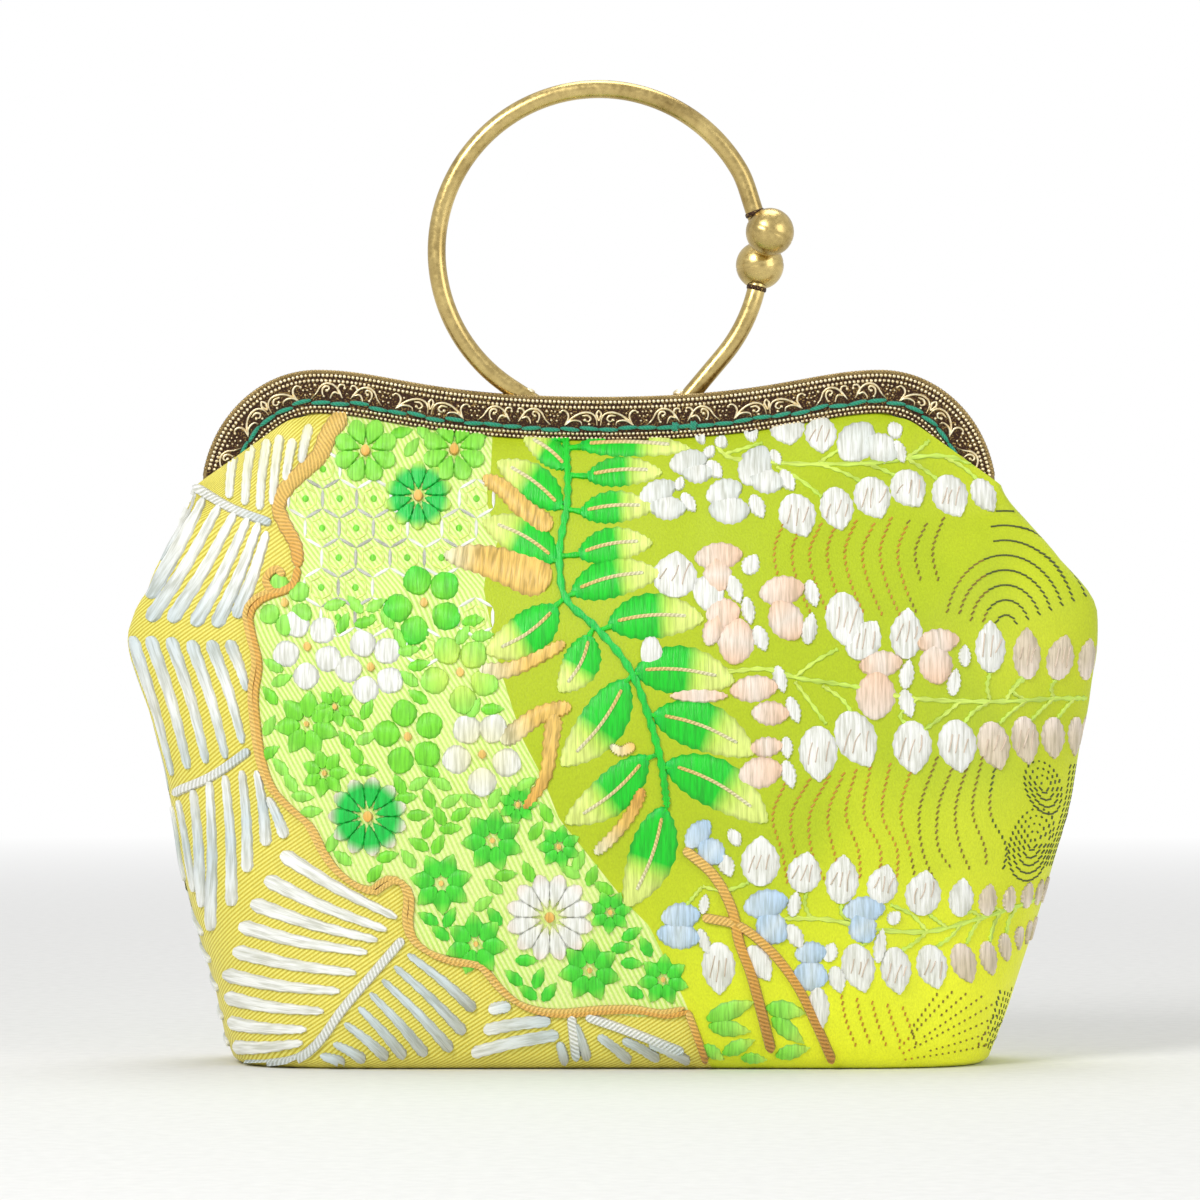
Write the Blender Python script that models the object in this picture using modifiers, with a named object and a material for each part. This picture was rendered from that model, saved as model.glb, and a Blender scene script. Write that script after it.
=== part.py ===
"""Handbag of brocade cloth in a hinged metal purse frame with a ring handle.

Run with: blender --background --python part.py
Lengths are in metres. +Z is up, the front faces -Y, and the origin lies on the ground under the middle.
"""

import math

import bmesh
import bpy
from mathutils import Matrix, Vector
from mathutils.geometry import interpolate_bezier

# Clearances
GAP = 0.0003               # between pieces that touch
SWING_CLEARANCE = 0.0005   # between the cloth and the path of the frame's lower edges

# Purse frame: its top edge runs from a dip over two humps down to the rivets
FRAME_HALF_WIDTH = 0.103
DIP_RISE = 0.0261
SHOULDER_REACH = 0.030     # from a hump's top out to the rivets
HUMP_RISE = 0.0331
DIP_REACH = 0.045          # length of the curve's handle at the dip
HUMP_REACH = 0.018         # length of the curve's handle at the hump
PLATE_HEIGHT = 0.011
HALF_THICKNESS = 0.0047    # of one half of the frame, front to back
WALL = 0.0008
EDGE_ROUND = 0.0003
DIP_STEPS = 7
SHOULDER_STEPS = 9
QUARTER = 0.5523           # handle of a quarter ellipse, as a share of its radius

# Ears and rivets of the hinge
EAR_RADIUS = 0.0042
EAR_PROUD = 0.00005
RIVET_RADIUS = 0.0009
RIVET_HEAD_RADIUS = 0.0020
RIVET_HEAD_HEIGHT = 0.0008

# Sewing holes and thread
STITCH_DEPTH = 0.0081      # of the row of holes below the top edge
STITCH_PITCH = 0.0050
STITCH_END_RISE = 0.009    # of the last hole above the rivets
THREAD_RADIUS = 0.00042
THREAD_DIP = 0.00055       # towards each hole
HOLE_RADIUS = THREAD_RADIUS + 0.00048

# Ring handle in two arcs, each with a ball at its end; angles run from +X over the top
RING_RISE = 0.0380         # of the ring's centre above the frame's dip
RING_RADIUS = 0.0421
WIRE_RADIUS = 0.00235
BALL_RADIUS = 0.00625
LONG_ARC_BASE = 237.0
LONG_ARC_LEAVE = 30.0
SHORT_ARC_LEAVE = -40.0
ARC_STEP = 7.0
FOOT_LENGTH = 0.020        # straight end of an arc, trimmed to the top of the frame
UPPER_BALL_ANGLE = 6.3
UPPER_BALL_OUT = 0.0025    # of the ball's centre outside the ring
LOWER_BALL_ANGLE = -4.4
TIP_ANGLE = 10.5           # where the long arc's axis ends in its ball
TIP_LEAN = 25.0            # of the axis there from upright
TIP_REACH = 0.0045

# Cloth bag: height, half width past the frame's, half depth, and how square its section is
SECTION_SIZES = (
    (0.003, -0.0050, 0.0330, 6.0, 2.6),
    (0.013, -0.0010, 0.0350, 5.0, 2.3),
    (0.030, 0.0042, 0.0360, 4.2, 2.0),
    (0.052, 0.0106, 0.0358, 3.6, 1.8),
    (0.080, 0.0165, 0.0340, 3.0, 1.6),
    (0.103, 0.0220, 0.0304, 2.6, 1.4),
    (0.112, 0.0232, 0.0285, 2.4, 1.35),
    (0.124, 0.0180, 0.0244, 2.3, 1.3),
    (0.1405, 0.0060, 0.0175, 2.3, 1.3),
)
SHOULDER_DROP = 0.0055     # of the cloth's shoulders below the rivets
NECK_STEP = 0.0010         # of the neck's foot inside the shoulders, front to back
NECK_SQUARE = (5.0, 1.6)
NECK_ANGLES = (66.0, 42.0, 17.5)         # degrees from upright, about the rivets
LINING_NECK_ANGLES = (66.0, 42.0, 27.0)
BASE_ROUND = 0.0028
SEAM_GAP = GAP
PANEL_THICKNESS = 0.0010
LINING_THICKNESS = 0.0005
LINING_EASE = 0.0007       # between the cloth and its lining
BOARD_THICKNESS = 0.0015
COLUMNS = 14

HUMP_X = FRAME_HALF_WIDTH - SHOULDER_REACH
SECTIONS = tuple((z, FRAME_HALF_WIDTH + past, *rest) for z, past, *rest in SECTION_SIZES)
HINGE_Z = SECTIONS[-1][0] + SHOULDER_DROP
RING_Z = HINGE_Z + DIP_RISE + RING_RISE

X_AXIS = Matrix.Rotation(math.radians(90.0), 4, "Y")
Y_AXIS = Matrix.Rotation(math.radians(90.0), 4, "X")
FRONT = -1
REAR = 1


def empty_scene():
    """Remove every object of the scene that the script starts in."""
    for item in list(bpy.data.objects):
        bpy.data.objects.remove(item, do_unlink=True)


def new_collection(name):
    """A collection linked to the scene."""
    made = bpy.data.collections.new(name)
    bpy.context.scene.collection.children.link(made)
    return made


def new_material(name, color, roughness, metallic=0.0):
    """A material with one Principled shader."""
    made = bpy.data.materials.new(name)
    made.use_nodes = True
    shader = made.node_tree.nodes["Principled BSDF"]
    shader.inputs["Base Color"].default_value = (*color, 1.0)
    shader.inputs["Roughness"].default_value = roughness
    shader.inputs["Metallic"].default_value = metallic
    return made


def add_object(name, data, group, material=None):
    """An object that holds data, in the collection group."""
    made = bpy.data.objects.new(name, data)
    group.objects.link(made)
    if material:
        data.materials.append(material)
    return made


def add_cutter(name, data):
    """A hidden object that other pieces are cut with."""
    made = add_object(name, data, CUTTERS)
    made.hide_render = True
    made.display_type = "WIRE"
    return made


def mesh_of(builder, name):
    """The mesh that a bmesh holds."""
    mesh = bpy.data.meshes.new(name)
    builder.to_mesh(mesh)
    builder.free()
    return mesh


def mesh_from_curve(curve_object):
    """Replace a curve object by a mesh with welded caps, and return the mesh."""
    bpy.context.view_layer.update()
    graph = bpy.context.evaluated_depsgraph_get()
    mesh = bpy.data.meshes.new_from_object(curve_object.evaluated_get(graph))
    mesh.transform(curve_object.matrix_world)
    builder = bmesh.new()
    builder.from_mesh(mesh)
    bmesh.ops.remove_doubles(builder, verts=builder.verts, dist=0.000001)
    builder.to_mesh(mesh)
    builder.free()
    bpy.data.objects.remove(curve_object, do_unlink=True)
    return mesh


def smooth(mesh, angle=40.0):
    """Shade a mesh smooth, with sharp edges where it turns more than the angle in degrees."""
    mesh.shade_smooth()
    mesh.set_sharp_from_angle(angle=math.radians(angle))


def cut(piece, operation, other):
    """Add a Boolean modifier to a piece."""
    modifier = piece.modifiers.new(other.name, "BOOLEAN")
    modifier.operation = operation
    modifier.solver = "EXACT"
    modifier.object = other


def rod(name, radius, low_x, high_x, sides=20):
    """A cutter in the form of a cylinder on the hinge's axis."""
    builder = bmesh.new()
    place = Matrix.Translation(((low_x + high_x) / 2, 0.0, HINGE_Z)) @ X_AXIS
    place = place @ Matrix.Rotation(math.pi / sides, 4, "Z")
    bmesh.ops.create_cone(builder, cap_ends=True, segments=sides, radius1=radius, radius2=radius,
                          depth=abs(high_x - low_x), matrix=place)
    return add_cutter(name, mesh_of(builder, name))


def block(name, low, high):
    """A cutter in the form of a box between two corners."""
    low, high = Vector(low), Vector(high)
    builder = bmesh.new()
    place = Matrix.Translation((low + high) / 2) @ Matrix.Diagonal((*(high - low), 1.0))
    bmesh.ops.create_cube(builder, size=1.0, matrix=place)
    return add_cutter(name, mesh_of(builder, name))


def flat_solid(name, outline, place, thickness, rounding=0.0):
    """The mesh of a flat outline, extruded to both sides of the plane place and with rounded edges."""
    curve = bpy.data.curves.new(name, "CURVE")
    curve.dimensions = "2D"
    curve.fill_mode = "BOTH"
    curve.extrude = thickness / 2 - rounding
    curve.bevel_depth = rounding
    curve.bevel_resolution = 0
    curve.offset = -rounding
    spline = curve.splines.new("POLY")
    spline.points.add(len(outline) - 1)
    for point, (across, up) in zip(spline.points, outline):
        point.co = (across, up, 0.0, 1.0)
    spline.use_cyclic_u = True
    made = add_object(name, curve, PARTS)
    made.matrix_world = place
    return mesh_from_curve(made)


def wire(name, points, radius, resolution):
    """The mesh of a round wire with filled caps along the points."""
    curve = bpy.data.curves.new(name, "CURVE")
    curve.dimensions = "3D"
    curve.bevel_depth = radius
    curve.bevel_resolution = resolution
    curve.use_fill_caps = True
    spline = curve.splines.new("POLY")
    spline.points.add(len(points) - 1)
    for point, place in zip(spline.points, points):
        point.co = (*place, 1.0)
    return mesh_from_curve(add_object(name, curve, PARTS))


def frame_edge(depth):
    """X and Z of the frame's outline, depth inside its top edge, from the left rivet to the right one."""
    dip = Vector((0.0, HINGE_Z + DIP_RISE))
    hump = Vector((HUMP_X, HINGE_Z + HUMP_RISE))
    end = Vector((FRAME_HALF_WIDTH, HINGE_Z))
    along = Vector((1.0, 0.0))
    spans = (
        (dip, dip + along * DIP_REACH, hump - along * HUMP_REACH, hump, DIP_STEPS),
        (hump, hump + along * SHOULDER_REACH * QUARTER, end + Vector((0.0, HUMP_RISE * QUARTER)), end,
         SHOULDER_STEPS),
    )
    right = []
    for start, handle, far_handle, finish, steps in spans:
        for step in range(steps + 1):
            t = step / steps
            s = 1.0 - t
            place = start * s ** 3 + handle * 3 * s * s * t + far_handle * 3 * s * t * t + finish * t ** 3
            slope = (handle - start) * s * s + (far_handle - handle) * 2 * s * t
            slope = (slope + (finish - far_handle) * t * t).normalized()
            inward = Vector((slope.y, -slope.x))
            right.append(place + inward * depth)
    del right[DIP_STEPS + 1]
    left = [Vector((-point.x, point.y)) for point in reversed(right[1:])]
    return left + right


def spaced(points, first, pitch, count):
    """Points at a pitch along a line of points, and the direction of the line at each."""
    found = []
    walked = 0.0
    wanted = first
    for start, finish in zip(points, points[1:]):
        length = (finish - start).length
        while wanted <= walked + length and len(found) < count:
            found.append((start.lerp(finish, (wanted - walked) / length), (finish - start).normalized()))
            wanted += pitch
        walked += length
    return found


def stitch_places():
    """The sewing holes along one half of the frame."""
    line = [point for point in frame_edge(STITCH_DEPTH) if point.y >= HINGE_Z + STITCH_END_RISE]
    length = sum((b - a).length for a, b in zip(line, line[1:]))
    count = int(length / STITCH_PITCH) + 1
    margin = (length - (count - 1) * STITCH_PITCH) / 2
    return spaced(line, margin, STITCH_PITCH, count)


def lower_edge_radius(x):
    """Distance from the hinge's axis up to the frame's lower edge at x."""
    edge = frame_edge(PLATE_HEIGHT)
    for a, b in zip(edge, edge[1:]):
        if a.x <= -abs(x) <= b.x and b.x > a.x:
            return a.lerp(b, (-abs(x) - a.x) / (b.x - a.x)).y - HINGE_Z
    return 0.0


def middle_y(side):
    """The middle plane of one half of the frame."""
    return side * (GAP + HALF_THICKNESS / 2)


def upright(y):
    """An upright plane that faces the front, for outlines of X and Z points."""
    return Matrix.Translation((0.0, y, 0.0)) @ Y_AXIS


def outer_y(side):
    """The outer face of one half of the frame."""
    return side * (GAP + HALF_THICKNESS)


# Planes of the hinge on the right; the left is its mirror image
FRONT_EAR = (FRAME_HALF_WIDTH + EAR_PROUD - WALL, FRAME_HALF_WIDTH + EAR_PROUD)
REAR_EAR = (FRONT_EAR[0] - GAP - WALL, FRONT_EAR[0] - GAP)
EAR_TOP = HINGE_Z + EAR_RADIUS + GAP
HEAD_ROOM = REAR_EAR[0] - RIVET_HEAD_HEIGHT - 2 * GAP


def make_frame(name, side, material):
    """One half of the frame: a channel open downwards, with ears at its ends and a row of sewing holes."""
    top = frame_edge(0.0)
    low = frame_edge(PLATE_HEIGHT)
    mesh = flat_solid(name, top + low[::-1], upright(middle_y(side)), HALF_THICKNESS, EDGE_ROUND)
    frame = add_object(name, mesh, PARTS, material)

    roof = frame_edge(WALL)
    below = frame_edge(PLATE_HEIGHT + 2 * WALL)[::-1]
    drop = Vector((0.0, -WALL))
    outline = [roof[0] + drop, *roof, roof[-1] + drop, below[0] + drop, *below, below[-1] + drop]
    slot = flat_solid(name + "_slot", outline, upright(middle_y(side)), HALF_THICKNESS - 2 * WALL)
    cut(frame, "DIFFERENCE", add_cutter(name + "_slot", slot))

    low_y, high_y = sorted((0.0, side * 2 * HALF_THICKNESS))
    beyond = 2 * FRAME_HALF_WIDTH
    ear_x = FRONT_EAR if side == FRONT else REAR_EAR
    room_x = (HEAD_ROOM, FRONT_EAR[0]) if side == FRONT else (FRONT_EAR[0] - GAP - EAR_PROUD, beyond)
    for hand, label in ((-1, f"{name}_left"), (1, f"{name}_right")):
        low_x, high_x = sorted((hand * room_x[0], hand * room_x[1]))
        cut(frame, "DIFFERENCE", block(label + "_room", (low_x, low_y, 0.0), (high_x, high_y, EAR_TOP)))
        if side == REAR:
            inside_ear = sum(REAR_EAR) / 2
            head = rod(label + "_head", RIVET_HEAD_RADIUS + GAP, hand * HEAD_ROOM, hand * inside_ear)
            cut(frame, "DIFFERENCE", head)
        cut(frame, "UNION", rod(label + "_ear", EAR_RADIUS, hand * ear_x[0], hand * ear_x[1]))
        bore = rod(label + "_bore", RIVET_RADIUS + GAP, hand * HEAD_ROOM, hand * beyond, sides=12)
        cut(frame, "DIFFERENCE", bore)

    builder = bmesh.new()
    for place, _ in stitch_places():
        where = Matrix.Translation((place.x, outer_y(side), place.y)) @ Y_AXIS
        bmesh.ops.create_cone(builder, cap_ends=True, segments=6, radius1=HOLE_RADIUS, radius2=HOLE_RADIUS,
                              depth=3 * WALL, matrix=where)
    cut(frame, "DIFFERENCE", add_cutter(name + "_holes", mesh_of(builder, name + "_holes")))
    weld = frame.modifiers.new("weld", "WELD")
    weld.merge_threshold = 0.00001
    frame.location = (0.0, 0.0, HINGE_Z)
    frame.data.transform(Matrix.Translation((0.0, 0.0, -HINGE_Z)))
    return frame


def make_thread(name, side, material):
    """The sewing thread along one half of the frame, which dips towards each hole."""
    proud_y = outer_y(side) + side * (GAP + THREAD_RADIUS)
    dip_y = proud_y - side * THREAD_DIP
    points = []
    for place, direction in stitch_places():
        for offset, y in ((-HOLE_RADIUS, proud_y), (0.0, dip_y), (HOLE_RADIUS, proud_y)):
            spot = place + direction * offset
            points.append((spot.x, y, spot.y))
    mesh = wire(name, points[1:-1], THREAD_RADIUS, 1)
    smooth(mesh)
    return add_object(name, mesh, PARTS, material)


def on_ring(degrees, y, out=0.0):
    """A point of the ring handle's axis, or out metres outside it."""
    angle = math.radians(degrees)
    radius = RING_RADIUS + out
    return Vector((radius * math.cos(angle), y, RING_Z + radius * math.sin(angle)))


def ball_place(side):
    """A ball's centre: the balls overlap from the front and lie a gap apart along Y."""
    upper = on_ring(UPPER_BALL_ANGLE, 0.0, UPPER_BALL_OUT)
    lower = on_ring(LOWER_BALL_ANGLE, 0.0)
    apart = math.sqrt((2 * BALL_RADIUS + GAP) ** 2 - (upper - lower).length_squared)
    return (upper if side == FRONT else lower) + Vector((0.0, side * apart / 2, 0.0))


def foot(degrees, turn, side):
    """The end of an arc's straight foot, inside the frame, where turn is the way round the ring."""
    angle = math.radians(degrees)
    along = Vector((-math.sin(angle) * turn, 0.0, math.cos(angle) * turn))
    return on_ring(degrees, middle_y(side)) + along * FOOT_LENGTH


def round_ring(start, end, side):
    """Points of the ring from one angle to another."""
    steps = math.ceil(abs(end - start) / ARC_STEP)
    return [on_ring(start + (end - start) * step / steps, middle_y(side)) for step in range(steps + 1)]


def trim_arc(name, points, ball, material):
    """An arc of wire whose foot is cut to the frame's top and whose tip is cut to its ball."""
    mesh = wire(name, points, WIRE_RADIUS, 4)
    smooth(mesh)
    arc = add_object(name, mesh, PARTS, material)
    top = frame_edge(-GAP)
    floor = [Vector((top[-1].x, 0.0)), Vector((top[0].x, 0.0))]
    under = flat_solid(name + "_under", top + floor, upright(0.0), 4 * HALF_THICKNESS)
    cut(arc, "DIFFERENCE", add_cutter(name + "_under", under))
    builder = bmesh.new()
    bmesh.ops.create_uvsphere(builder, u_segments=20, v_segments=12, radius=BALL_RADIUS + GAP,
                              matrix=Matrix.Translation(ball))
    cut(arc, "DIFFERENCE", add_cutter(name + "_seat", mesh_of(builder, name + "_seat")))
    return arc


def lean(degrees):
    """The direction downwards that leans to +X by an angle."""
    return Vector((math.sin(math.radians(degrees)), 0.0, -math.cos(math.radians(degrees))))


def make_long_arc(material):
    """The front half's arc, from the frame over the top of the ring to the upper ball."""
    ball = ball_place(FRONT)
    points = [foot(LONG_ARC_BASE, 1, FRONT)] + round_ring(LONG_ARC_BASE, LONG_ARC_LEAVE, FRONT)
    start = points[-1]
    tip = on_ring(TIP_ANGLE, (middle_y(FRONT) + ball.y) / 2)
    bend = interpolate_bezier(start, start + lean(LONG_ARC_LEAVE) * TIP_REACH,
                              tip - lean(TIP_LEAN) * TIP_REACH, tip, 6)
    return trim_arc("long_arc", points + bend[1:], ball, material)


def make_short_arc(material):
    """The rear half's arc, from the frame up the right side to the lower ball."""
    ball = ball_place(REAR)
    points = [foot(SHORT_ARC_LEAVE, -1, REAR)] + round_ring(SHORT_ARC_LEAVE, LOWER_BALL_ANGLE, REAR)
    points[-1].y = (points[-1].y + ball.y) / 2
    return trim_arc("short_arc", points, ball, material)


def make_ball(name, side, material):
    """A clasp ball at the end of an arc."""
    builder = bmesh.new()
    bmesh.ops.create_uvsphere(builder, u_segments=20, v_segments=12, radius=BALL_RADIUS)
    mesh = mesh_of(builder, name)
    smooth(mesh)
    ball = add_object(name, mesh, PARTS, material)
    ball.location = ball_place(side)
    return ball


def make_rivet(name, hand, material):
    """A headed rivet through a rear ear and a front ear, turned about the hinge's axis."""
    outer = FRONT_EAR[1] + GAP
    inner = REAR_EAR[0] - GAP
    bevel = RIVET_HEAD_HEIGHT / 2
    profile = (
        (0.0, outer + RIVET_HEAD_HEIGHT),
        (RIVET_HEAD_RADIUS - bevel, outer + RIVET_HEAD_HEIGHT),
        (RIVET_HEAD_RADIUS, outer + bevel),
        (RIVET_HEAD_RADIUS, outer),
        (RIVET_RADIUS, outer),
        (RIVET_RADIUS, inner),
        (RIVET_HEAD_RADIUS, inner),
        (RIVET_HEAD_RADIUS, inner - RIVET_HEAD_HEIGHT),
        (0.0, inner - RIVET_HEAD_HEIGHT),
    )
    mesh = bpy.data.meshes.new(name)
    edges = [(i, i + 1) for i in range(len(profile) - 1)]
    mesh.from_pydata([(radius, 0.0, along) for radius, along in profile], edges, [])
    rivet = add_object(name, mesh, PARTS, material)
    turn = rivet.modifiers.new("turned", "SCREW")
    turn.steps = turn.render_steps = 16
    turn.use_merge_vertices = True
    turn.merge_threshold = 0.00001
    turn.use_smooth_shade = False
    rivet.location = (0.0, 0.0, HINGE_Z)
    rivet.rotation_euler = (0.0, math.radians(90.0 * hand), 0.0)
    return rivet


def section_depth(x, half, depth, square):
    """Depth at x of a section with a half width, a half depth and two exponents for its squareness."""
    share = 1.0 - min(1.0, abs(x / half)) ** square[0]
    return depth * share ** (1.0 / square[1])


def bag_rows(floor, neck_angles):
    """Rows of the front of the bag from the base's middle up to the mouth.

    Each row holds its half width and a function that gives Y and Z at x. floor is the height of
    the base. The neck's rows lie at angles about the rivets, inside the path of the frame's edges.
    """
    def level(half, depth, square, z):
        return half, lambda x: (SEAM_GAP - section_depth(x, half, depth + SEAM_GAP, square), z)

    _, half, depth, *square = SECTIONS[0]
    side = BASE_ROUND * 0.3
    rows = [(half - 2 * BASE_ROUND, lambda x: (SEAM_GAP, floor))]
    rows.append(level(half - BASE_ROUND, depth - BASE_ROUND, square, floor))
    rows.append(level(half - side, depth - side, square, floor + side))
    for z, wide, deep, *square in SECTIONS:
        rows.append(level(wide, deep, square, max(z, floor + BASE_ROUND)))

    shoulder_z, _, shoulder_depth, *_ = SECTIONS[-1]
    neck_half = FRAME_HALF_WIDTH - PLATE_HEIGHT - 2 * SWING_CLEARANCE
    rows.append(level(neck_half, shoulder_depth - NECK_STEP, NECK_SQUARE, shoulder_z + SWING_CLEARANCE))

    def arc_row(degrees):
        across, up = math.sin(math.radians(degrees)), math.cos(math.radians(degrees))

        def place(x):
            radius = lower_edge_radius(x) - SWING_CLEARANCE
            depth = section_depth(x, neck_half, radius * across + SEAM_GAP, NECK_SQUARE)
            return SEAM_GAP - depth, HINGE_Z + radius * up
        return neck_half, place

    rows.extend(arc_row(degrees) for degrees in neck_angles)
    return rows


def make_shell(name, side, material, thickness, seam, neck_angles, inset=0.0, floor=0.0):
    """One half of a cloth bag: an open surface of rows and columns, thickened inwards from inset.

    The surface runs a little past the middle plane, and the cutter seam trims it there.
    """
    builder = bmesh.new()
    grid = []
    for half, place in bag_rows(floor, neck_angles):
        row = []
        for column in range(COLUMNS + 1):
            x = half * math.sin(math.pi * (column / COLUMNS - 0.5))
            y, z = place(x)
            row.append(builder.verts.new((x, -side * y, z)))
        grid.append(row)
    for low, high in zip(grid, grid[1:]):
        for column in range(COLUMNS):
            ring = [low[column], low[column + 1], high[column + 1], high[column]]
            builder.faces.new(ring if side == FRONT else ring[::-1])
    mesh = mesh_of(builder, name)
    smooth(mesh, 60.0)
    shell = add_object(name, mesh, PARTS, material)
    wall = shell.modifiers.new("thickness", "SOLIDIFY")
    wall.thickness = thickness
    wall.offset = -1.0 - 2.0 * inset / thickness
    cut(shell, "DIFFERENCE", seam)
    return shell


def make_board(material):
    """The stiff board that lies between the cloth's base and the lining's."""
    _, half, depth, *square = SECTIONS[0]
    inside = BASE_ROUND + 2 * (PANEL_THICKNESS + GAP)
    half -= inside
    front = []
    for column in range(COLUMNS):
        x = half * math.sin(math.pi * (column / COLUMNS - 0.5))
        front.append((x, -section_depth(x, half, depth - inside, square)))
    rear = [(-x, -y) for x, y in front]
    place = Matrix.Translation((0.0, 0.0, PANEL_THICKNESS + GAP + BOARD_THICKNESS / 2))
    mesh = flat_solid("base_board", front + rear, place, BOARD_THICKNESS)
    return add_object("base_board", mesh, PARTS, material)


def hang_on_hinge(name, pieces):
    """Parent pieces to an empty on the hinge's axis, where they stay in place."""
    hinge = bpy.data.objects.new(name, None)
    PARTS.objects.link(hinge)
    hinge.location = (0.0, 0.0, HINGE_Z)
    bpy.context.view_layer.update()
    for piece in pieces:
        piece.parent = hinge
        piece.matrix_parent_inverse = hinge.matrix_world.inverted()


def main():
    """Build the bag, the frame's halves and the ring handle."""
    brass = new_material("antique_brass", (0.52, 0.37, 0.16), 0.35, 1.0)
    thread = new_material("teal_thread", (0.02, 0.30, 0.22), 0.6)
    brocade = new_material("brocade", (0.50, 0.62, 0.06), 0.45)
    lining = new_material("lining_cloth", (0.72, 0.66, 0.48), 0.7)
    card = new_material("card", (0.45, 0.38, 0.28), 0.8)

    lining_inset = PANEL_THICKNESS + LINING_EASE
    lining_floor = BOARD_THICKNESS + GAP
    for side, word in ((FRONT, "front"), (REAR, "back")):
        low_y, high_y = sorted((side * SEAM_GAP / 2, -side * HINGE_Z))
        reach = 2 * FRAME_HALF_WIDTH
        seam = block(word + "_seam", (-reach, low_y, -reach), (reach, high_y, reach))
        make_shell(word + "_panel", side, brocade, PANEL_THICKNESS, seam, NECK_ANGLES)
        make_shell(word + "_lining", side, lining, LINING_THICKNESS, seam, LINING_NECK_ANGLES,
                   inset=lining_inset, floor=lining_floor)
    make_board(card)
    make_rivet("left_rivet", -1, brass)
    make_rivet("right_rivet", 1, brass)

    front = [
        make_frame("front_frame", FRONT, brass),
        make_thread("front_thread", FRONT, thread),
        make_long_arc(brass),
        make_ball("upper_ball", FRONT, brass),
    ]
    rear = [
        make_frame("rear_frame", REAR, brass),
        make_thread("rear_thread", REAR, thread),
        make_short_arc(brass),
        make_ball("lower_ball", REAR, brass),
    ]
    hang_on_hinge("front_hinge", front)
    hang_on_hinge("rear_hinge", rear)


empty_scene()
PARTS = new_collection("frame_handbag")
CUTTERS = new_collection("cutters")
main()
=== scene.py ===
"""The looks of a brocade handbag in a hinged metal purse frame with a ring handle.

Lengths are in metres, +Z is up and the front faces -Y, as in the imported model. The pattern of the brocade is
drawn on point paper: columns count from the left, rows from the top, and one square is PAPER_SQUARE wide.
"""

from __future__ import annotations

import logging
import math
import random
from collections.abc import Callable, Iterator, Sequence
from contextlib import contextmanager
from dataclasses import dataclass, field, replace
from enum import Enum
from typing import TypeVar

import bpy
import numpy as np
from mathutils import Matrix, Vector, noise
from mathutils.bvhtree import BVHTree


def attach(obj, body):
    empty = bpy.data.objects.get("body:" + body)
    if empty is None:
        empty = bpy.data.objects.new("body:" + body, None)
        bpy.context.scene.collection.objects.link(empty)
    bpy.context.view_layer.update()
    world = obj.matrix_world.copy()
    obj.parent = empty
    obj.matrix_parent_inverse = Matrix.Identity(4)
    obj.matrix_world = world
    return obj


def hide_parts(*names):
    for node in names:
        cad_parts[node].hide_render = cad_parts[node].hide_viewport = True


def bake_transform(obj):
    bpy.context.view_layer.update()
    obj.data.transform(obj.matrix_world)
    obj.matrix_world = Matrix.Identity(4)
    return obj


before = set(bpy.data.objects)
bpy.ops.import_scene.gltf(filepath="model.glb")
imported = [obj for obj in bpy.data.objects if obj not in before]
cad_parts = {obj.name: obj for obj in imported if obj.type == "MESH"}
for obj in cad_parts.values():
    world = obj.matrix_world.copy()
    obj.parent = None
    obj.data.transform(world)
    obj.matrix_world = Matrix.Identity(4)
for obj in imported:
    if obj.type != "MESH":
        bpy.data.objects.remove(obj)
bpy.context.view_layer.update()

LOG = logging.getLogger("handbag")

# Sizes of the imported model
GAP = 0.0003
HINGE_Z = 0.146
HALF_THICKNESS = 0.0047
PLATE_HEIGHT = 0.011
FACE_Y = GAP + HALF_THICKNESS
MIDDLE_Y = GAP + HALF_THICKNESS / 2
STITCH_DEPTH = 0.0081
STITCH_PITCH = 0.0050
SHOULDER_Z = 0.1405
HALF_SEAM = 0.0001

# Point paper of the weave, and the height that the back's paper is turned about
PAPER_SQUARE = 0.00026
PAPER_MIDDLE = 599.0
PAPER_FOOT = 1060.0
PAPER_TURN_Z = 0.1640

SMOOTH_ANGLE = math.radians(40.0)
MILLI = 0.001

Choice = TypeVar("Choice")
Spot = TypeVar("Spot", float, Vector, np.ndarray)
Paper = tuple[float, float]
Row = tuple[float, ...]
Colour = tuple[float, float, float, float]
Shape = tuple[np.ndarray, list[tuple[int, ...]]]
Piece = bpy.types.Object
Material = bpy.types.Material
Socket = bpy.types.NodeSocket


class Side(Enum):
    """A face of the bag, by the sign of its Y."""

    FRONT = -1
    REAR = 1

    @property
    def word(self) -> str:
        """The word that names this side's pieces."""
        return "front" if self is Side.FRONT else "back"

    @property
    def half(self) -> str:
        """The body of this side's half of the frame."""
        return "front_half" if self is Side.FRONT else "rear_half"

    def either(self, front: Choice, rear: Choice) -> Choice:
        """The first of two things on the front, the second on the rear."""
        return front if self is Side.FRONT else rear


def screen_colour(red: float, green: float, blue: float) -> Colour:
    """Turn a screen colour into the linear colour that a shader takes.

    Args:
        red: Red, from 0 to 255.
        green: Green, from 0 to 255.
        blue: Blue, from 0 to 255.

    Returns:
        The linear colour with an alpha of 1.
    """
    def one(level: float) -> float:
        """One channel made linear."""
        share = level / 255.0
        return share / 12.92 if share <= 0.04045 else ((share + 0.055) / 1.055) ** 2.4

    return one(red), one(green), one(blue), 1.0


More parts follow.
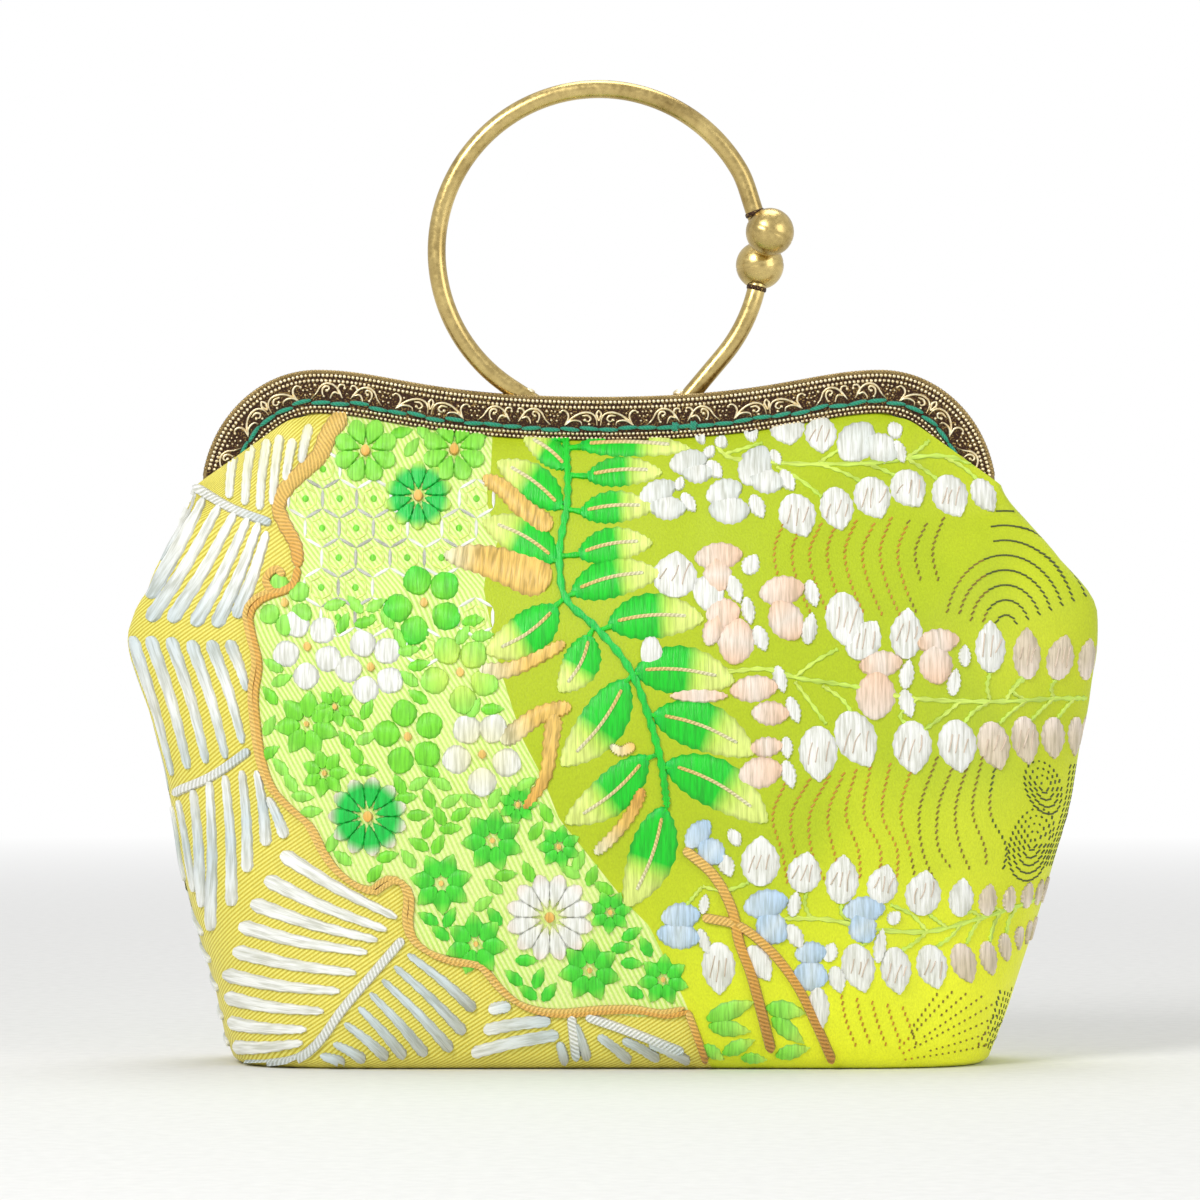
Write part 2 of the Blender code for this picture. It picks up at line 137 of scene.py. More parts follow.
class Dye(Enum):
    """Colours of the floss and of the grounds of the brocade."""

    WHITE = (248, 249, 244)
    CREAM = (246, 244, 204)
    SILVER = (212, 224, 226)
    GREY = (190, 192, 180)
    PEARL = (220, 226, 220)
    STONE = (230, 214, 188)
    PEACH = (252, 212, 180)
    BLUSH = (252, 236, 222)
    SKY = (182, 212, 240)
    MIST = (216, 232, 244)
    EMERALD = (0, 206, 72)
    GREEN = (0, 214, 30)
    LEAF = (70, 222, 46)
    APPLE = (124, 228, 46)
    SPRING = (156, 240, 86)
    LIME = (208, 244, 96)
    PALE = (236, 252, 136)
    GOLD = (250, 206, 108)
    AMBER = (240, 178, 74)
    BRONZE = (196, 138, 56)
    STEM = (220, 240, 104)
    RUST = (206, 146, 28)
    UMBER = (142, 118, 22)
    INK = (78, 88, 22)
    TAUPE = (222, 202, 182)
    TEAL = (10, 168, 134)

    @property
    def colour(self) -> Colour:
        """The dye as a linear colour."""
        return screen_colour(*self.value)


def clear_selection() -> None:
    """Deselect every object."""
    bpy.ops.object.select_all(action="DESELECT")


def pick(piece: Piece) -> None:
    """Make a piece the only selected one, and the active one.

    Args:
        piece: The piece.
    """
    clear_selection()
    piece.select_set(True)
    bpy.context.view_layer.objects.active = piece


def soften(piece: Piece, angle: float = SMOOTH_ANGLE) -> None:
    """Shade a piece smooth, apart from edges that turn more than the angle."""
    pick(piece)
    bpy.ops.object.shade_smooth_by_angle(angle=angle)


def report(piece: Piece) -> None:
    """Report a finished piece."""
    LOG.info("%s: %d faces", piece.name, len(piece.data.polygons))


@contextmanager
def editing(piece: Piece) -> Iterator[None]:
    """Hold a piece in edit mode with all of it selected.

    Args:
        piece: The piece.

    Yields:
        Nothing.
    """
    pick(piece)
    bpy.ops.object.mode_set(mode="EDIT")
    bpy.ops.mesh.select_all(action="SELECT")
    yield
    bpy.ops.object.mode_set(mode="OBJECT")


def settle(piece: Piece, name: str, material: Material, place: Sequence[float], turn: float = 0.0) -> None:
    """Name and dress a modelled piece, and put it in its place, which its mesh then holds.

    Args:
        piece: The piece, still at the origin.
        name: Its name.
        material: Its finish.
        place: Where its middle goes.
        turn: Its turn about Y, in radians.
    """
    pick(piece)
    piece.name = name
    piece.data.materials.append(material)
    piece.rotation_euler = (0.0, turn, 0.0)
    piece.location = place
    bpy.ops.object.transform_apply(location=True, rotation=True, scale=True)


def refinish(name: str, material: Material) -> None:
    """Give a CAD node its finish.

    Args:
        name: The node's name.
        material: Its finish.
    """
    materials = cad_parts[name].data.materials
    materials.clear()
    materials.append(material)


def taken_apart(piece: Piece) -> Shape:
    """Take the points and the faces of a modelled shape, and delete its object.

    Args:
        piece: The shape.

    Returns:
        Its points and its faces.
    """
    points = np.array([vertex.co[:] for vertex in piece.data.vertices])
    faces = [tuple(polygon.vertices) for polygon in piece.data.polygons]
    bpy.data.objects.remove(piece, do_unlink=True)
    return points, faces


def swept(name: str, path: Sequence[Vector], radius: float, sides: int, material: Material) -> Piece:
    """A closed tube along a path: a disc extruded from point to point and turned about Y with the path.

    Args:
        name: The piece's name.
        path: The points of the tube's axis.
        radius: The tube's radius.
        sides: Corners of the disc.
        material: The piece's finish.

    Returns:
        The tube.
    """
    ways = [path[min(index + 1, len(path) - 1)] - path[max(index - 1, 0)] for index in range(len(path))]
    turns = [math.atan2(way.x, way.z) for way in ways]
    clear_selection()
    bpy.ops.mesh.primitive_circle_add(vertices=sides, radius=radius, fill_type="NGON")
    piece = bpy.context.object
    settle(piece, name, material, path[0], turns[0])
    with editing(piece):
        for before, after, turned, turn in zip(path, path[1:], turns, turns[1:]):
            bpy.ops.mesh.extrude_region_move(TRANSFORM_OT_translate={"value": after - before})
            more = math.remainder(turn - turned, 2.0 * math.pi)
            bpy.ops.transform.rotate(value=-more, orient_axis="Y", center_override=after)
        bpy.ops.mesh.select_all(action="SELECT")
        bpy.ops.mesh.normals_make_consistent(inside=False)
    return piece


# ---------------------------------------------------------------- curves


def ease(value: float, low: float, high: float) -> float:
    """A smooth step from 0 at low to 1 at high."""
    share = min(1.0, max(0.0, (value - low) / (high - low)))
    return share * share * (3.0 - 2.0 * share)


def bezier(start: Spot, leave: Spot, arrive: Spot, finish: Spot, t: float) -> Spot:
    """A point of a curve that its two handles pull, at a share t of the way."""
    s = 1.0 - t
    return start * s ** 3 + leave * 3 * s * s * t + arrive * 3 * s * t * t + finish * t ** 3


def hermite(t: Spot, start: Spot, leave: Spot, finish: Spot, arrive: Spot) -> Spot:
    """A point of a curve that leaves and arrives with the given slopes, at a share t of the way."""
    return ((2 * t ** 3 - 3 * t ** 2 + 1) * start + (t ** 3 - 2 * t ** 2 + t) * leave
            + (-2 * t ** 3 + 3 * t ** 2) * finish + (t ** 3 - t ** 2) * arrive)


def walked(points: np.ndarray) -> np.ndarray:
    """The length walked from the first of a row of points to each of them."""
    return np.concatenate(([0.0], np.cumsum(np.linalg.norm(np.diff(points, axis=0), axis=1))))


def smooth_line(knots: Sequence[Sequence[float]], shares: np.ndarray) -> np.ndarray:
    """Points of a smooth curve through knots.

    Args:
        knots: The points that the curve passes.
        shares: Shares of the curve's length, from 0 to 1.

    Returns:
        One point for each share.
    """
    knots = np.asarray(knots, float)
    if len(knots) == 2:
        return knots[0] + (knots[1] - knots[0]) * shares[:, None]
    marks = walked(knots)
    slopes = np.gradient(knots, marks, axis=0)
    wanted = shares * marks[-1]
    index = np.clip(np.searchsorted(marks, wanted, side="right") - 1, 0, len(knots) - 2)
    width = (marks[index + 1] - marks[index])[:, None]
    t = (wanted[:, None] - marks[index][:, None]) / width
    return hermite(t, knots[index], width * slopes[index], knots[index + 1], width * slopes[index + 1])


def smooth_table(marks: Sequence[float], values: Sequence[float]) -> Callable[[float], float]:
    """A smooth function through a table of values.

    Args:
        marks: Where the values stand, rising.
        values: The values.

    Returns:
        The function, held at the table's ends.
    """
    xs = np.array(marks, float)
    ys = np.array(values, float)
    slopes = np.gradient(ys, xs)

    def at(x: float) -> float:
        """The value at x.

        Args:
            x: Where the value is wanted.

        Returns:
            The value.
        """
        x = min(max(x, xs[0]), xs[-1])
        index = int(min(max(np.searchsorted(xs, x, side="right") - 1, 0), len(xs) - 2))
        width = xs[index + 1] - xs[index]
        return float(hermite((x - xs[index]) / width, ys[index], width * slopes[index], ys[index + 1],
                             width * slopes[index + 1]))

    return at


def tube_rows(path: Sequence[Vector], radius: float, sides: int) -> list[list[Vector]]:
    """Rings of points round a path.

    Args:
        path: The points of the tube's axis.
        radius: The tube's radius.
        sides: Points in each ring.

    Returns:
        One ring for each point of the path.
    """
    rows = []
    for index, point in enumerate(path):
        along = (path[min(len(path) - 1, index + 1)] - path[max(0, index - 1)]).normalized()
        side = along.cross(Vector((0.0, 1.0, 0.0))).normalized()
        depth = side.cross(along)
        angles = (2.0 * math.pi * step / sides for step in range(sides))
        rows.append([point + side * radius * math.cos(angle) + depth * radius * math.sin(angle)
                     for angle in angles])
    return rows


# ---------------------------------------------------------------- finishes


class Nodes:
    """A node tree in the making."""

    def __init__(self, tree: bpy.types.NodeTree) -> None:
        """Work on a tree."""
        self.tree = tree

    def feed(self, socket: Socket, value: object) -> None:
        """Link a socket to another one, or set its own value.

        Args:
            socket: The input.
            value: An output, a value, or None to leave the input alone.
        """
        if isinstance(value, Socket):
            self.tree.links.new(value, socket)
        elif value is not None:
            socket.default_value = value

    def node(self, kind: str, settings: dict[str, object] | None = None,
             **inputs: object) -> bpy.types.Node:
        """Add a node.

        Args:
            kind: The node's type, without its ShaderNode prefix.
            settings: Properties of the node.
            **inputs: Values or sockets for its inputs, with underscores for spaces.

        Returns:
            The new node.
        """
        made = self.tree.nodes.new("ShaderNode" + kind)
        for name, value in (settings or {}).items():
            setattr(made, name, value)
        for name, value in inputs.items():
            self.feed(made.inputs[name.replace("_", " ")], value)
        return made

    def math(self, operation: str, a: object, b: object = None, c: object = None) -> Socket:
        """The result of a Math node.

        Args:
            operation: The node's operation.
            a: The first value or socket.
            b: The second, where the operation has one.
            c: The third, where it has one.

        Returns:
            The result.
        """
        made = self.node("Math", {"operation": operation})
        for socket, value in zip(made.inputs, (a, b, c)):
            self.feed(socket, value)
        return made.outputs[0]

    def add(self, a: object, b: object) -> Socket:
        """The sum of two values."""
        return self.math("ADD", a, b)

    def times(self, a: object, b: object) -> Socket:
        """The product of two values."""
        return self.math("MULTIPLY", a, b)

    def wave(self, value: object, pitch: float) -> Socket:
        """A sine of a length that repeats at a pitch."""
        return self.math("SINE", self.times(value, 2.0 * math.pi / pitch))

    def between(self, value: object, low: float, high: float, start: float = 0.0,
                finish: float = 1.0) -> Socket:
        """A value between low and high mapped onto start to finish, clamped."""
        return self.node("MapRange", {"clamp": True}, Value=value, From_Min=low, From_Max=high,
                         To_Min=start, To_Max=finish).outputs[0]


class Recipe(Nodes):
    """The nodes of one material, round a Principled shader."""

    def __init__(self, name: str) -> None:
        """Start a material with only its shader and its output.

        Args:
            name: The material's name.
        """
        self.material = bpy.data.materials.new(name)
        self.material.use_nodes = True
        super().__init__(self.material.node_tree)
        self.shader = self.tree.nodes["Principled BSDF"]

    def mix(self, share: object, a: object, b: object, blend: str = "MIX") -> Socket:
        """A mixture of two colours.

        Args:
            share: The share of the second colour.
            a: The first colour.
            b: The second colour.
            blend: The way they blend.

        Returns:
            The mixture.
        """
        made = self.node("Mix", {"data_type": "RGBA", "blend_type": blend})
        for index, value in ((0, share), (6, a), (7, b)):
            self.feed(made.inputs[index], value)
        return made.outputs[2]

    def parts(self, vector: object) -> bpy.types.bpy_prop_collection:
        """The X, Y and Z of a vector."""
        return self.node("SeparateXYZ", None, Vector=vector).outputs

    def place(self) -> Socket:
        """Object coordinates."""
        return self.node("TexCoord").outputs["Object"]

    def thread_map(self) -> Socket:
        """The piece's own UV map, in metres across and along its thread."""
        return self.node("UVMap", {"uv_map": "floss"}).outputs[0]

    def dye(self) -> Socket:
        """The piece's own colour attribute."""
        return self.node("Attribute", {"attribute_name": "dye"}).outputs["Color"]

    def scaled(self, vector: object, scale: Row) -> Socket:
        """A vector scaled along each axis."""
        return self.node("Mapping", None, Vector=vector, Scale=scale).outputs[0]

    def noise(self, vector: object, scale: float = 1.0, detail: float = 2.0,
              distortion: float = 0.0) -> Socket:
        """The level of a noise."""
        return self.node("TexNoise", None, Vector=vector, Scale=scale, Detail=detail,
                         Distortion=distortion).outputs[0]

    def bump(self, height: object, distance: float, strength: float = 1.0, under: object = None) -> Socket:
        """A normal pushed by a height, over another normal."""
        return self.node("Bump", None, Height=height, Distance=distance, Strength=strength,
                         Normal=under).outputs[0]

    def shaded(self, colour: object, shade: object, blue: float = 1.0) -> Socket:
        """A colour times a grey shade.

        Args:
            colour: The colour.
            shade: The shade.
            blue: The power that the shade is raised to in the blue, which warms what is dark.

        Returns:
            The shaded colour.
        """
        grey = self.node("CombineColor", None, Red=shade, Green=shade,
                         Blue=shade if blue == 1.0 else self.math("POWER", shade, blue)).outputs[0]
        return self.mix(1.0, colour, grey, "MULTIPLY")

    def finish(self, **inputs: object) -> Material:
        """Feed the shader.

        Args:
            **inputs: Values or sockets for its inputs, with underscores for spaces.

        Returns:
            The material.
        """
        for name, value in inputs.items():
            self.feed(self.shader.inputs[name.replace("_", " ")], value)
        return self.material


@dataclass(frozen=True)
class Brass:
    """Aged brass with dark and bright patches and fine brushing."""

    name: str
    bright: Colour = screen_colour(218, 194, 128)
    dark: Colour = screen_colour(158, 134, 80)
    roughness: float = 0.27
    patch: float = 60.0

    def material(self) -> Material:
        """Mix the finish.

        Returns:
            Its material.
        """
        mix = Recipe(self.name)
        place = mix.place()
        patches = mix.noise(place, self.patch, 5.0, 0.6)
        brushed = mix.noise(mix.scaled(place, (900.0, 900.0, 900.0)), 1.0, 3.0)
        tone = mix.between(mix.add(patches, mix.times(brushed, 0.35)), 0.42, 0.85)
        colour = mix.mix(tone, self.dark, self.bright)
        rough = mix.between(brushed, 0.3, 0.7, self.roughness - 0.07, self.roughness + 0.12)
        normal = mix.bump(brushed, 0.00003, 0.35, mix.bump(patches, 0.0002, 0.25))
        return mix.finish(Base_Color=colour, Metallic=1.0, Roughness=rough, Normal=normal)


@dataclass(frozen=True)
class Patina:
    """The dark, grainy bottom of stamped relief, with specks of bare metal."""

    name: str
    dark: Colour = screen_colour(58, 36, 24)
    speck: Colour = screen_colour(176, 146, 84)

    def material(self) -> Material:
        """Mix the finish.

        Returns:
            Its material.
        """
        mix = Recipe(self.name)
        place = mix.place()
        grain = mix.noise(place, 2600.0, 2.0)
        specks = mix.between(grain, 0.56, 0.64)
        patches = mix.between(mix.noise(place, 160.0, 3.0), 0.35, 0.65, 0.25, 1.0)
        colour = mix.mix(mix.times(specks, patches), self.dark, self.speck)
        return mix.finish(Base_Color=colour, Metallic=0.75, Roughness=0.5,
                          Normal=mix.bump(grain, 0.00012, 0.8))


@dataclass(frozen=True)
class Floss:
    """Embroidery floss: fine strands along each stitch, dyed by the piece's colour attribute."""

    name: str
    strand: float = 0.00075
    sheen: float = 0.25
    roughness: float = 0.4
    shade: float = 0.66

    def material(self) -> Material:
        """Mix the finish.

        Returns:
            Its material.
        """
        mix = Recipe(self.name)
        floss = mix.thread_map()
        coarse = mix.noise(mix.scaled(floss, (1.0 / self.strand, 110.0, 1.0)), 1.0, 2.0, 0.3)
        fine = mix.noise(mix.scaled(floss, (4.2 / self.strand, 260.0, 1.0)), 1.0, 1.0)
        strands = mix.add(mix.times(coarse, 0.7), mix.times(fine, 0.3))
        shade = mix.between(strands, 0.36, 0.58, self.shade, 1.0)
        colour = mix.shaded(mix.dye(), shade, 1.25)
        normal = mix.bump(strands, 0.00045, 0.9)
        return mix.finish(Base_Color=colour, Roughness=self.roughness, Sheen_Weight=self.sheen,
                          Sheen_Roughness=0.4, Normal=normal)


@dataclass(frozen=True)
class TwistedCord:
    """Couched cord of twisted strands, dyed by the piece's colour attribute."""

    name: str
    lay: float = 0.0011
    roughness: float = 0.4

    def material(self) -> Material:
        """Mix the finish.

        Returns:
            Its material.
        """
        mix = Recipe(self.name)
        floss = mix.thread_map()
        across, along, _ = mix.parts(floss)
        slant = mix.add(mix.times(across, 0.9), along)
        fibres = mix.noise(mix.scaled(floss, (2600.0, 1500.0, 1.0)), 1.0, 2.0)
        height = mix.add(mix.times(mix.wave(slant, self.lay), 0.5), fibres)
        shade = mix.between(height, -0.1, 0.8, 0.62, 1.0)
        colour = mix.shaded(mix.dye(), shade, 1.3)
        return mix.finish(Base_Color=colour, Roughness=self.roughness, Sheen_Weight=0.25,
                          Normal=mix.bump(height, 0.0003, 0.8))


@dataclass(frozen=True)
class BrocadeGround:
    """The woven ground: olive satin, painted lighter towards the bottom and the right as painted light, a
    twilled flower field and a yellow field under the pine needles.
    """

    name: str
    satin: Colour = screen_colour(182, 202, 6)
    # The satin's paler colour, for cloudy tone that differs at random and for painted light towards the bottom
    # and the right.
    satin_cloud_and_painted_light: Colour = screen_colour(250, 255, 34)
    flower: Colour = screen_colour(238, 250, 164)
    flower_dark: Colour = screen_colour(198, 236, 104)
    pine: Colour = screen_colour(246, 238, 116)
    pine_dark: Colour = screen_colour(212, 192, 54)

    def twill(self, mix: Recipe, threads: object, pitch: float, turn: float) -> Socket:
        """Slanting lines of a twill weave.

        Args:
            mix: The recipe that takes the nodes.
            threads: The thread map.
            pitch: The distance from line to line.
            turn: The lines' slant, in radians.

        Returns:
            A level from 0 to 1.
        """
        x, y, _ = mix.parts(threads)
        along = mix.add(mix.times(x, math.cos(turn)), mix.times(y, math.sin(turn)))
        return mix.between(mix.wave(along, pitch), -0.4, 0.6)

    def material(self) -> Material:
        """Mix the finish.

        Returns:
            Its material.
        """
        mix = Recipe(self.name)
        place = mix.place()
        grain = mix.noise(mix.scaled(place, (2400.0, 2400.0, 1500.0)), 1.0, 2.0)
        cloudy = mix.noise(place, 26.0, 2.0)
        x, _, z = mix.parts(place)
        # Painted light: the satin takes its paler colour towards the bottom and the right, mixed with cloudy
        # tone that differs at random.
        glow = mix.add(mix.between(z, 0.085, 0.005), mix.between(x, 0.04, 0.12, -0.3, 0.3))
        satin = mix.mix(mix.between(mix.add(glow, cloudy), 0.5, 1.6), self.satin, self.satin_cloud_and_painted_light)
        threads = mix.thread_map()
        lines = self.twill(mix, threads, 0.0012, math.radians(28.0))
        flower = mix.mix(mix.times(lines, mix.between(cloudy, 0.3, 0.6, 0.5, 1.0)), self.flower,
                         self.flower_dark)
        ribs = self.twill(mix, threads, 0.00095, math.radians(-55.0))
        pine = mix.mix(ribs, self.pine, self.pine_dark)
        in_flower, in_pine = (mix.between(mix.node("Attribute", {"attribute_name": name}).outputs["Fac"],
                                          0.0, 0.0001) for name in ("flower_field", "pine_field"))
        colour = mix.mix(in_pine, mix.mix(in_flower, satin, flower), pine)
        worn = mix.between(grain, 0.25, 0.75, 0.86, 1.04)
        colour = mix.shaded(colour, worn)
        ridges = mix.add(mix.times(lines, in_flower), mix.times(ribs, in_pine))
        weave = mix.add(grain, mix.times(ridges, 0.6))
        return mix.finish(Base_Color=colour, Roughness=0.5, Sheen_Weight=0.08, Sheen_Roughness=0.35,
                          Normal=mix.bump(weave, 0.00022, 0.55))


@dataclass(frozen=True)
class PlainCloth:
    """Plain woven cloth with crossing threads."""

    name: str
    colour: Colour
    pitch: float = 0.0006
    roughness: float = 0.7

    def material(self) -> Material:
        """Mix the finish.

        Returns:
            Its material.
        """
        mix = Recipe(self.name)
        place = mix.place()
        x, _, z = mix.parts(place)
        weave = mix.times(mix.wave(x, self.pitch), mix.wave(z, self.pitch))
        patches = mix.noise(place, 60.0, 3.0)
        dark = tuple(0.8 * level for level in self.colour[:3]) + (1.0,)
        colour = mix.mix(mix.between(mix.add(mix.times(weave, 0.12), patches), 0.3, 0.7), dark, self.colour)
        return mix.finish(Base_Color=colour, Roughness=self.roughness, Sheen_Weight=0.2,
                          Normal=mix.bump(weave, 0.00012, 0.5))


# ---------------------------------------------------------------- meshes


@dataclass
class Skin:
    """Points, faces, thread map and dyes of a piece that is being made."""

    points: list[tuple[float, float, float]] = field(default_factory=list)
    faces: list[tuple[int, ...]] = field(default_factory=list)
    threads: list[tuple[float, float]] = field(default_factory=list)
    dyes: list[Colour] = field(default_factory=list)

    def grid(self, rows: Sequence[Sequence[Vector]], flip: bool = False, closed: bool = False) -> None:
        """Add faces between rows of points.

        Args:
            rows: Rows of as many points each.
            flip: Whether the faces look the other way.
            closed: Whether each row closes on itself.
        """
        start = len(self.points)
        width = len(rows[0])
        for row in rows:
            self.points.extend(tuple(point) for point in row)
        for row in range(len(rows) - 1):
            for column in range(width if closed else width - 1):
                after = (column + 1) % width
                a = start + row * width + column
                b = start + row * width + after
                face = (a, b, b + width, a + width)
                self.faces.append(face[::-1] if flip else face)

    def make(self, name: str, material: Material) -> Piece:
        """Turn the gathered points and faces into a piece.

        Args:
            name: The piece's name.
            material: Its finish.

        Returns:
            The piece.
        """
        mesh = bpy.data.meshes.new(name)
        mesh.from_pydata(self.points, [], self.faces)
        if self.threads:
            layer = mesh.uv_layers.new(name="floss")
            corners = np.zeros(len(mesh.loops), np.int32)
            mesh.loops.foreach_get("vertex_index", corners)
            layer.data.foreach_set("uv", np.array(self.threads, np.float32)[corners].ravel())
        if self.dyes:
            dyes = mesh.color_attributes.new("dye", "FLOAT_COLOR", "POINT")
            dyes.data.foreach_set("color", np.array(self.dyes, np.float32).ravel())
        mesh.materials.append(material)
        mesh.update()
        piece = bpy.data.objects.new(name, mesh)
        bpy.context.scene.collection.objects.link(piece)
        return piece


# ---------------------------------------------------------------- purse frame


@dataclass
class FramePath:
    """The outline of the purse frame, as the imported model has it."""

    half_width: float = 0.103
    dip_rise: float = 0.0261
    shoulder_reach: float = 0.030
    hump_rise: float = 0.0331
    dip_reach: float = 0.045
    hump_reach: float = 0.018
    quarter: float = 0.5523
    samples: int = 120

    def __post_init__(self) -> None:
        """Sample the right half of the outline, with its inward normals and the length along its middle."""
        dip = np.array((0.0, HINGE_Z + self.dip_rise))
        hump = np.array((self.half_width - self.shoulder_reach, HINGE_Z + self.hump_rise))
        end = np.array((self.half_width, HINGE_Z))
        along = np.array((1.0, 0.0))
        up = np.array((0.0, 1.0))
        spans = (
            (dip, dip + along * self.dip_reach, hump - along * self.hump_reach, hump),
            (hump, hump + along * self.shoulder_reach * self.quarter,
             end + up * self.hump_rise * self.quarter, end),
        )
        places, inwards = [], []
        for start, handle, far, finish in spans:
            for t in np.linspace(0.0, 1.0, self.samples):
                s = 1.0 - t
                places.append(bezier(start, handle, far, finish, t))
                slope = (handle - start) * s * s + (far - handle) * 2 * s * t + (finish - far) * t * t
                slope /= np.linalg.norm(slope)
                inwards.append((slope[1], -slope[0]))
        self.top = np.array(places)
        self.inward = np.array(inwards)
        self.length = walked(self.top + self.inward * PLATE_HEIGHT / 2)
        self.reach = float(self.length[-1])

    def place(self, along: float, depth: float) -> tuple[float, float]:
        """A place on the plate.

        Args:
            along: The length along the plate's middle, signed from the centre.
            depth: The depth below the plate's top.

        Returns:
            Its X and Z.
        """
        x, z, nx, nz = (float(np.interp(abs(along), self.length, values)) for values in
                        (self.top[:, 0], self.top[:, 1], self.inward[:, 0], self.inward[:, 1]))
        hand = -1.0 if along < 0.0 else 1.0
        return hand * (x + nx * depth), z + nz * depth

    def lower_edge(self, x: float) -> float:
        """Height of the plate's lower edge at x."""
        low = self.top + self.inward * PLATE_HEIGHT
        return float(np.interp(abs(x), low[:, 0], low[:, 1]))


@dataclass(frozen=True)
class Scroll:
    """A stamped scroll: its reach from its centre, its lines and its blobs, in millimetres along and down."""

    reach: float
    curves: tuple[tuple[Paper, ...], ...]
    blobs: tuple[Row, ...]


POINTED_SCROLL = Scroll(-13.8, (
    ((-8.87, 7.4), (-6.93, 5.37), (-5.13, 4.33), (-3.04, 3.88), (-1.55, 4.33), (-0.66, 5.67), (-0.5, 7.3)),
    ((0.0, 3.3), (-0.62, 4.3), (-0.35, 5.3), (-0.05, 6.1)),
    ((-4.39, 4.84), (-2.75, 4.8), (-2.1, 5.67), (-2.9, 6.33), (-3.64, 5.97)),
    ((-8.5, 7.2), (-7.5, 6.33), (-5.9, 6.03), (-4.6, 6.5), (-4.4, 7.3)),
    ((-10.06, 3.94), (-9.46, 3.5), (-8.4, 3.88), (-7.9, 4.93), (-8.27, 6.27), (-8.87, 7.3)),
), (
    (-10.06, 4.0, 0.42), (-3.64, 5.9, 0.5), (-2.5, 7.0, 0.45), (-7.16, 4.2, 0.33),
        (-12.3, 3.75, 0.32), (-11.4, 3.85, 0.32), (-12.6, 4.75, 0.32), (-11.6, 5.0, 0.32),
        (-10.6, 4.9, 0.32), (-12.3, 6.1, 0.34), (-10.9, 6.2, 0.34), (-13.6, 3.8, 0.45)))
CURLED_SCROLL = Scroll(9.6, (
    ((0.75, 4.18), (0.9, 3.5), (1.94, 3.45), (2.5, 4.5), (1.94, 5.6), (1.05, 6.8)),
    ((1.05, 6.9), (2.4, 4.7), (3.9, 3.5), (5.4, 3.25), (6.8, 4.0), (8.06, 6.0), (9.4, 7.3)),
    ((2.0, 5.9), (3.3, 5.5), (4.0, 6.3), (4.3, 7.2)),
    ((5.3, 5.1), (4.7, 4.7), (4.9, 4.1), (5.6, 4.0), (6.3, 4.6), (6.4, 5.9), (5.9, 6.9)),
), (
    (0.78, 4.25, 0.42), (5.3, 5.15, 0.5), (6.0, 6.7, 0.42), (0.0, 5.6, 0.34)))


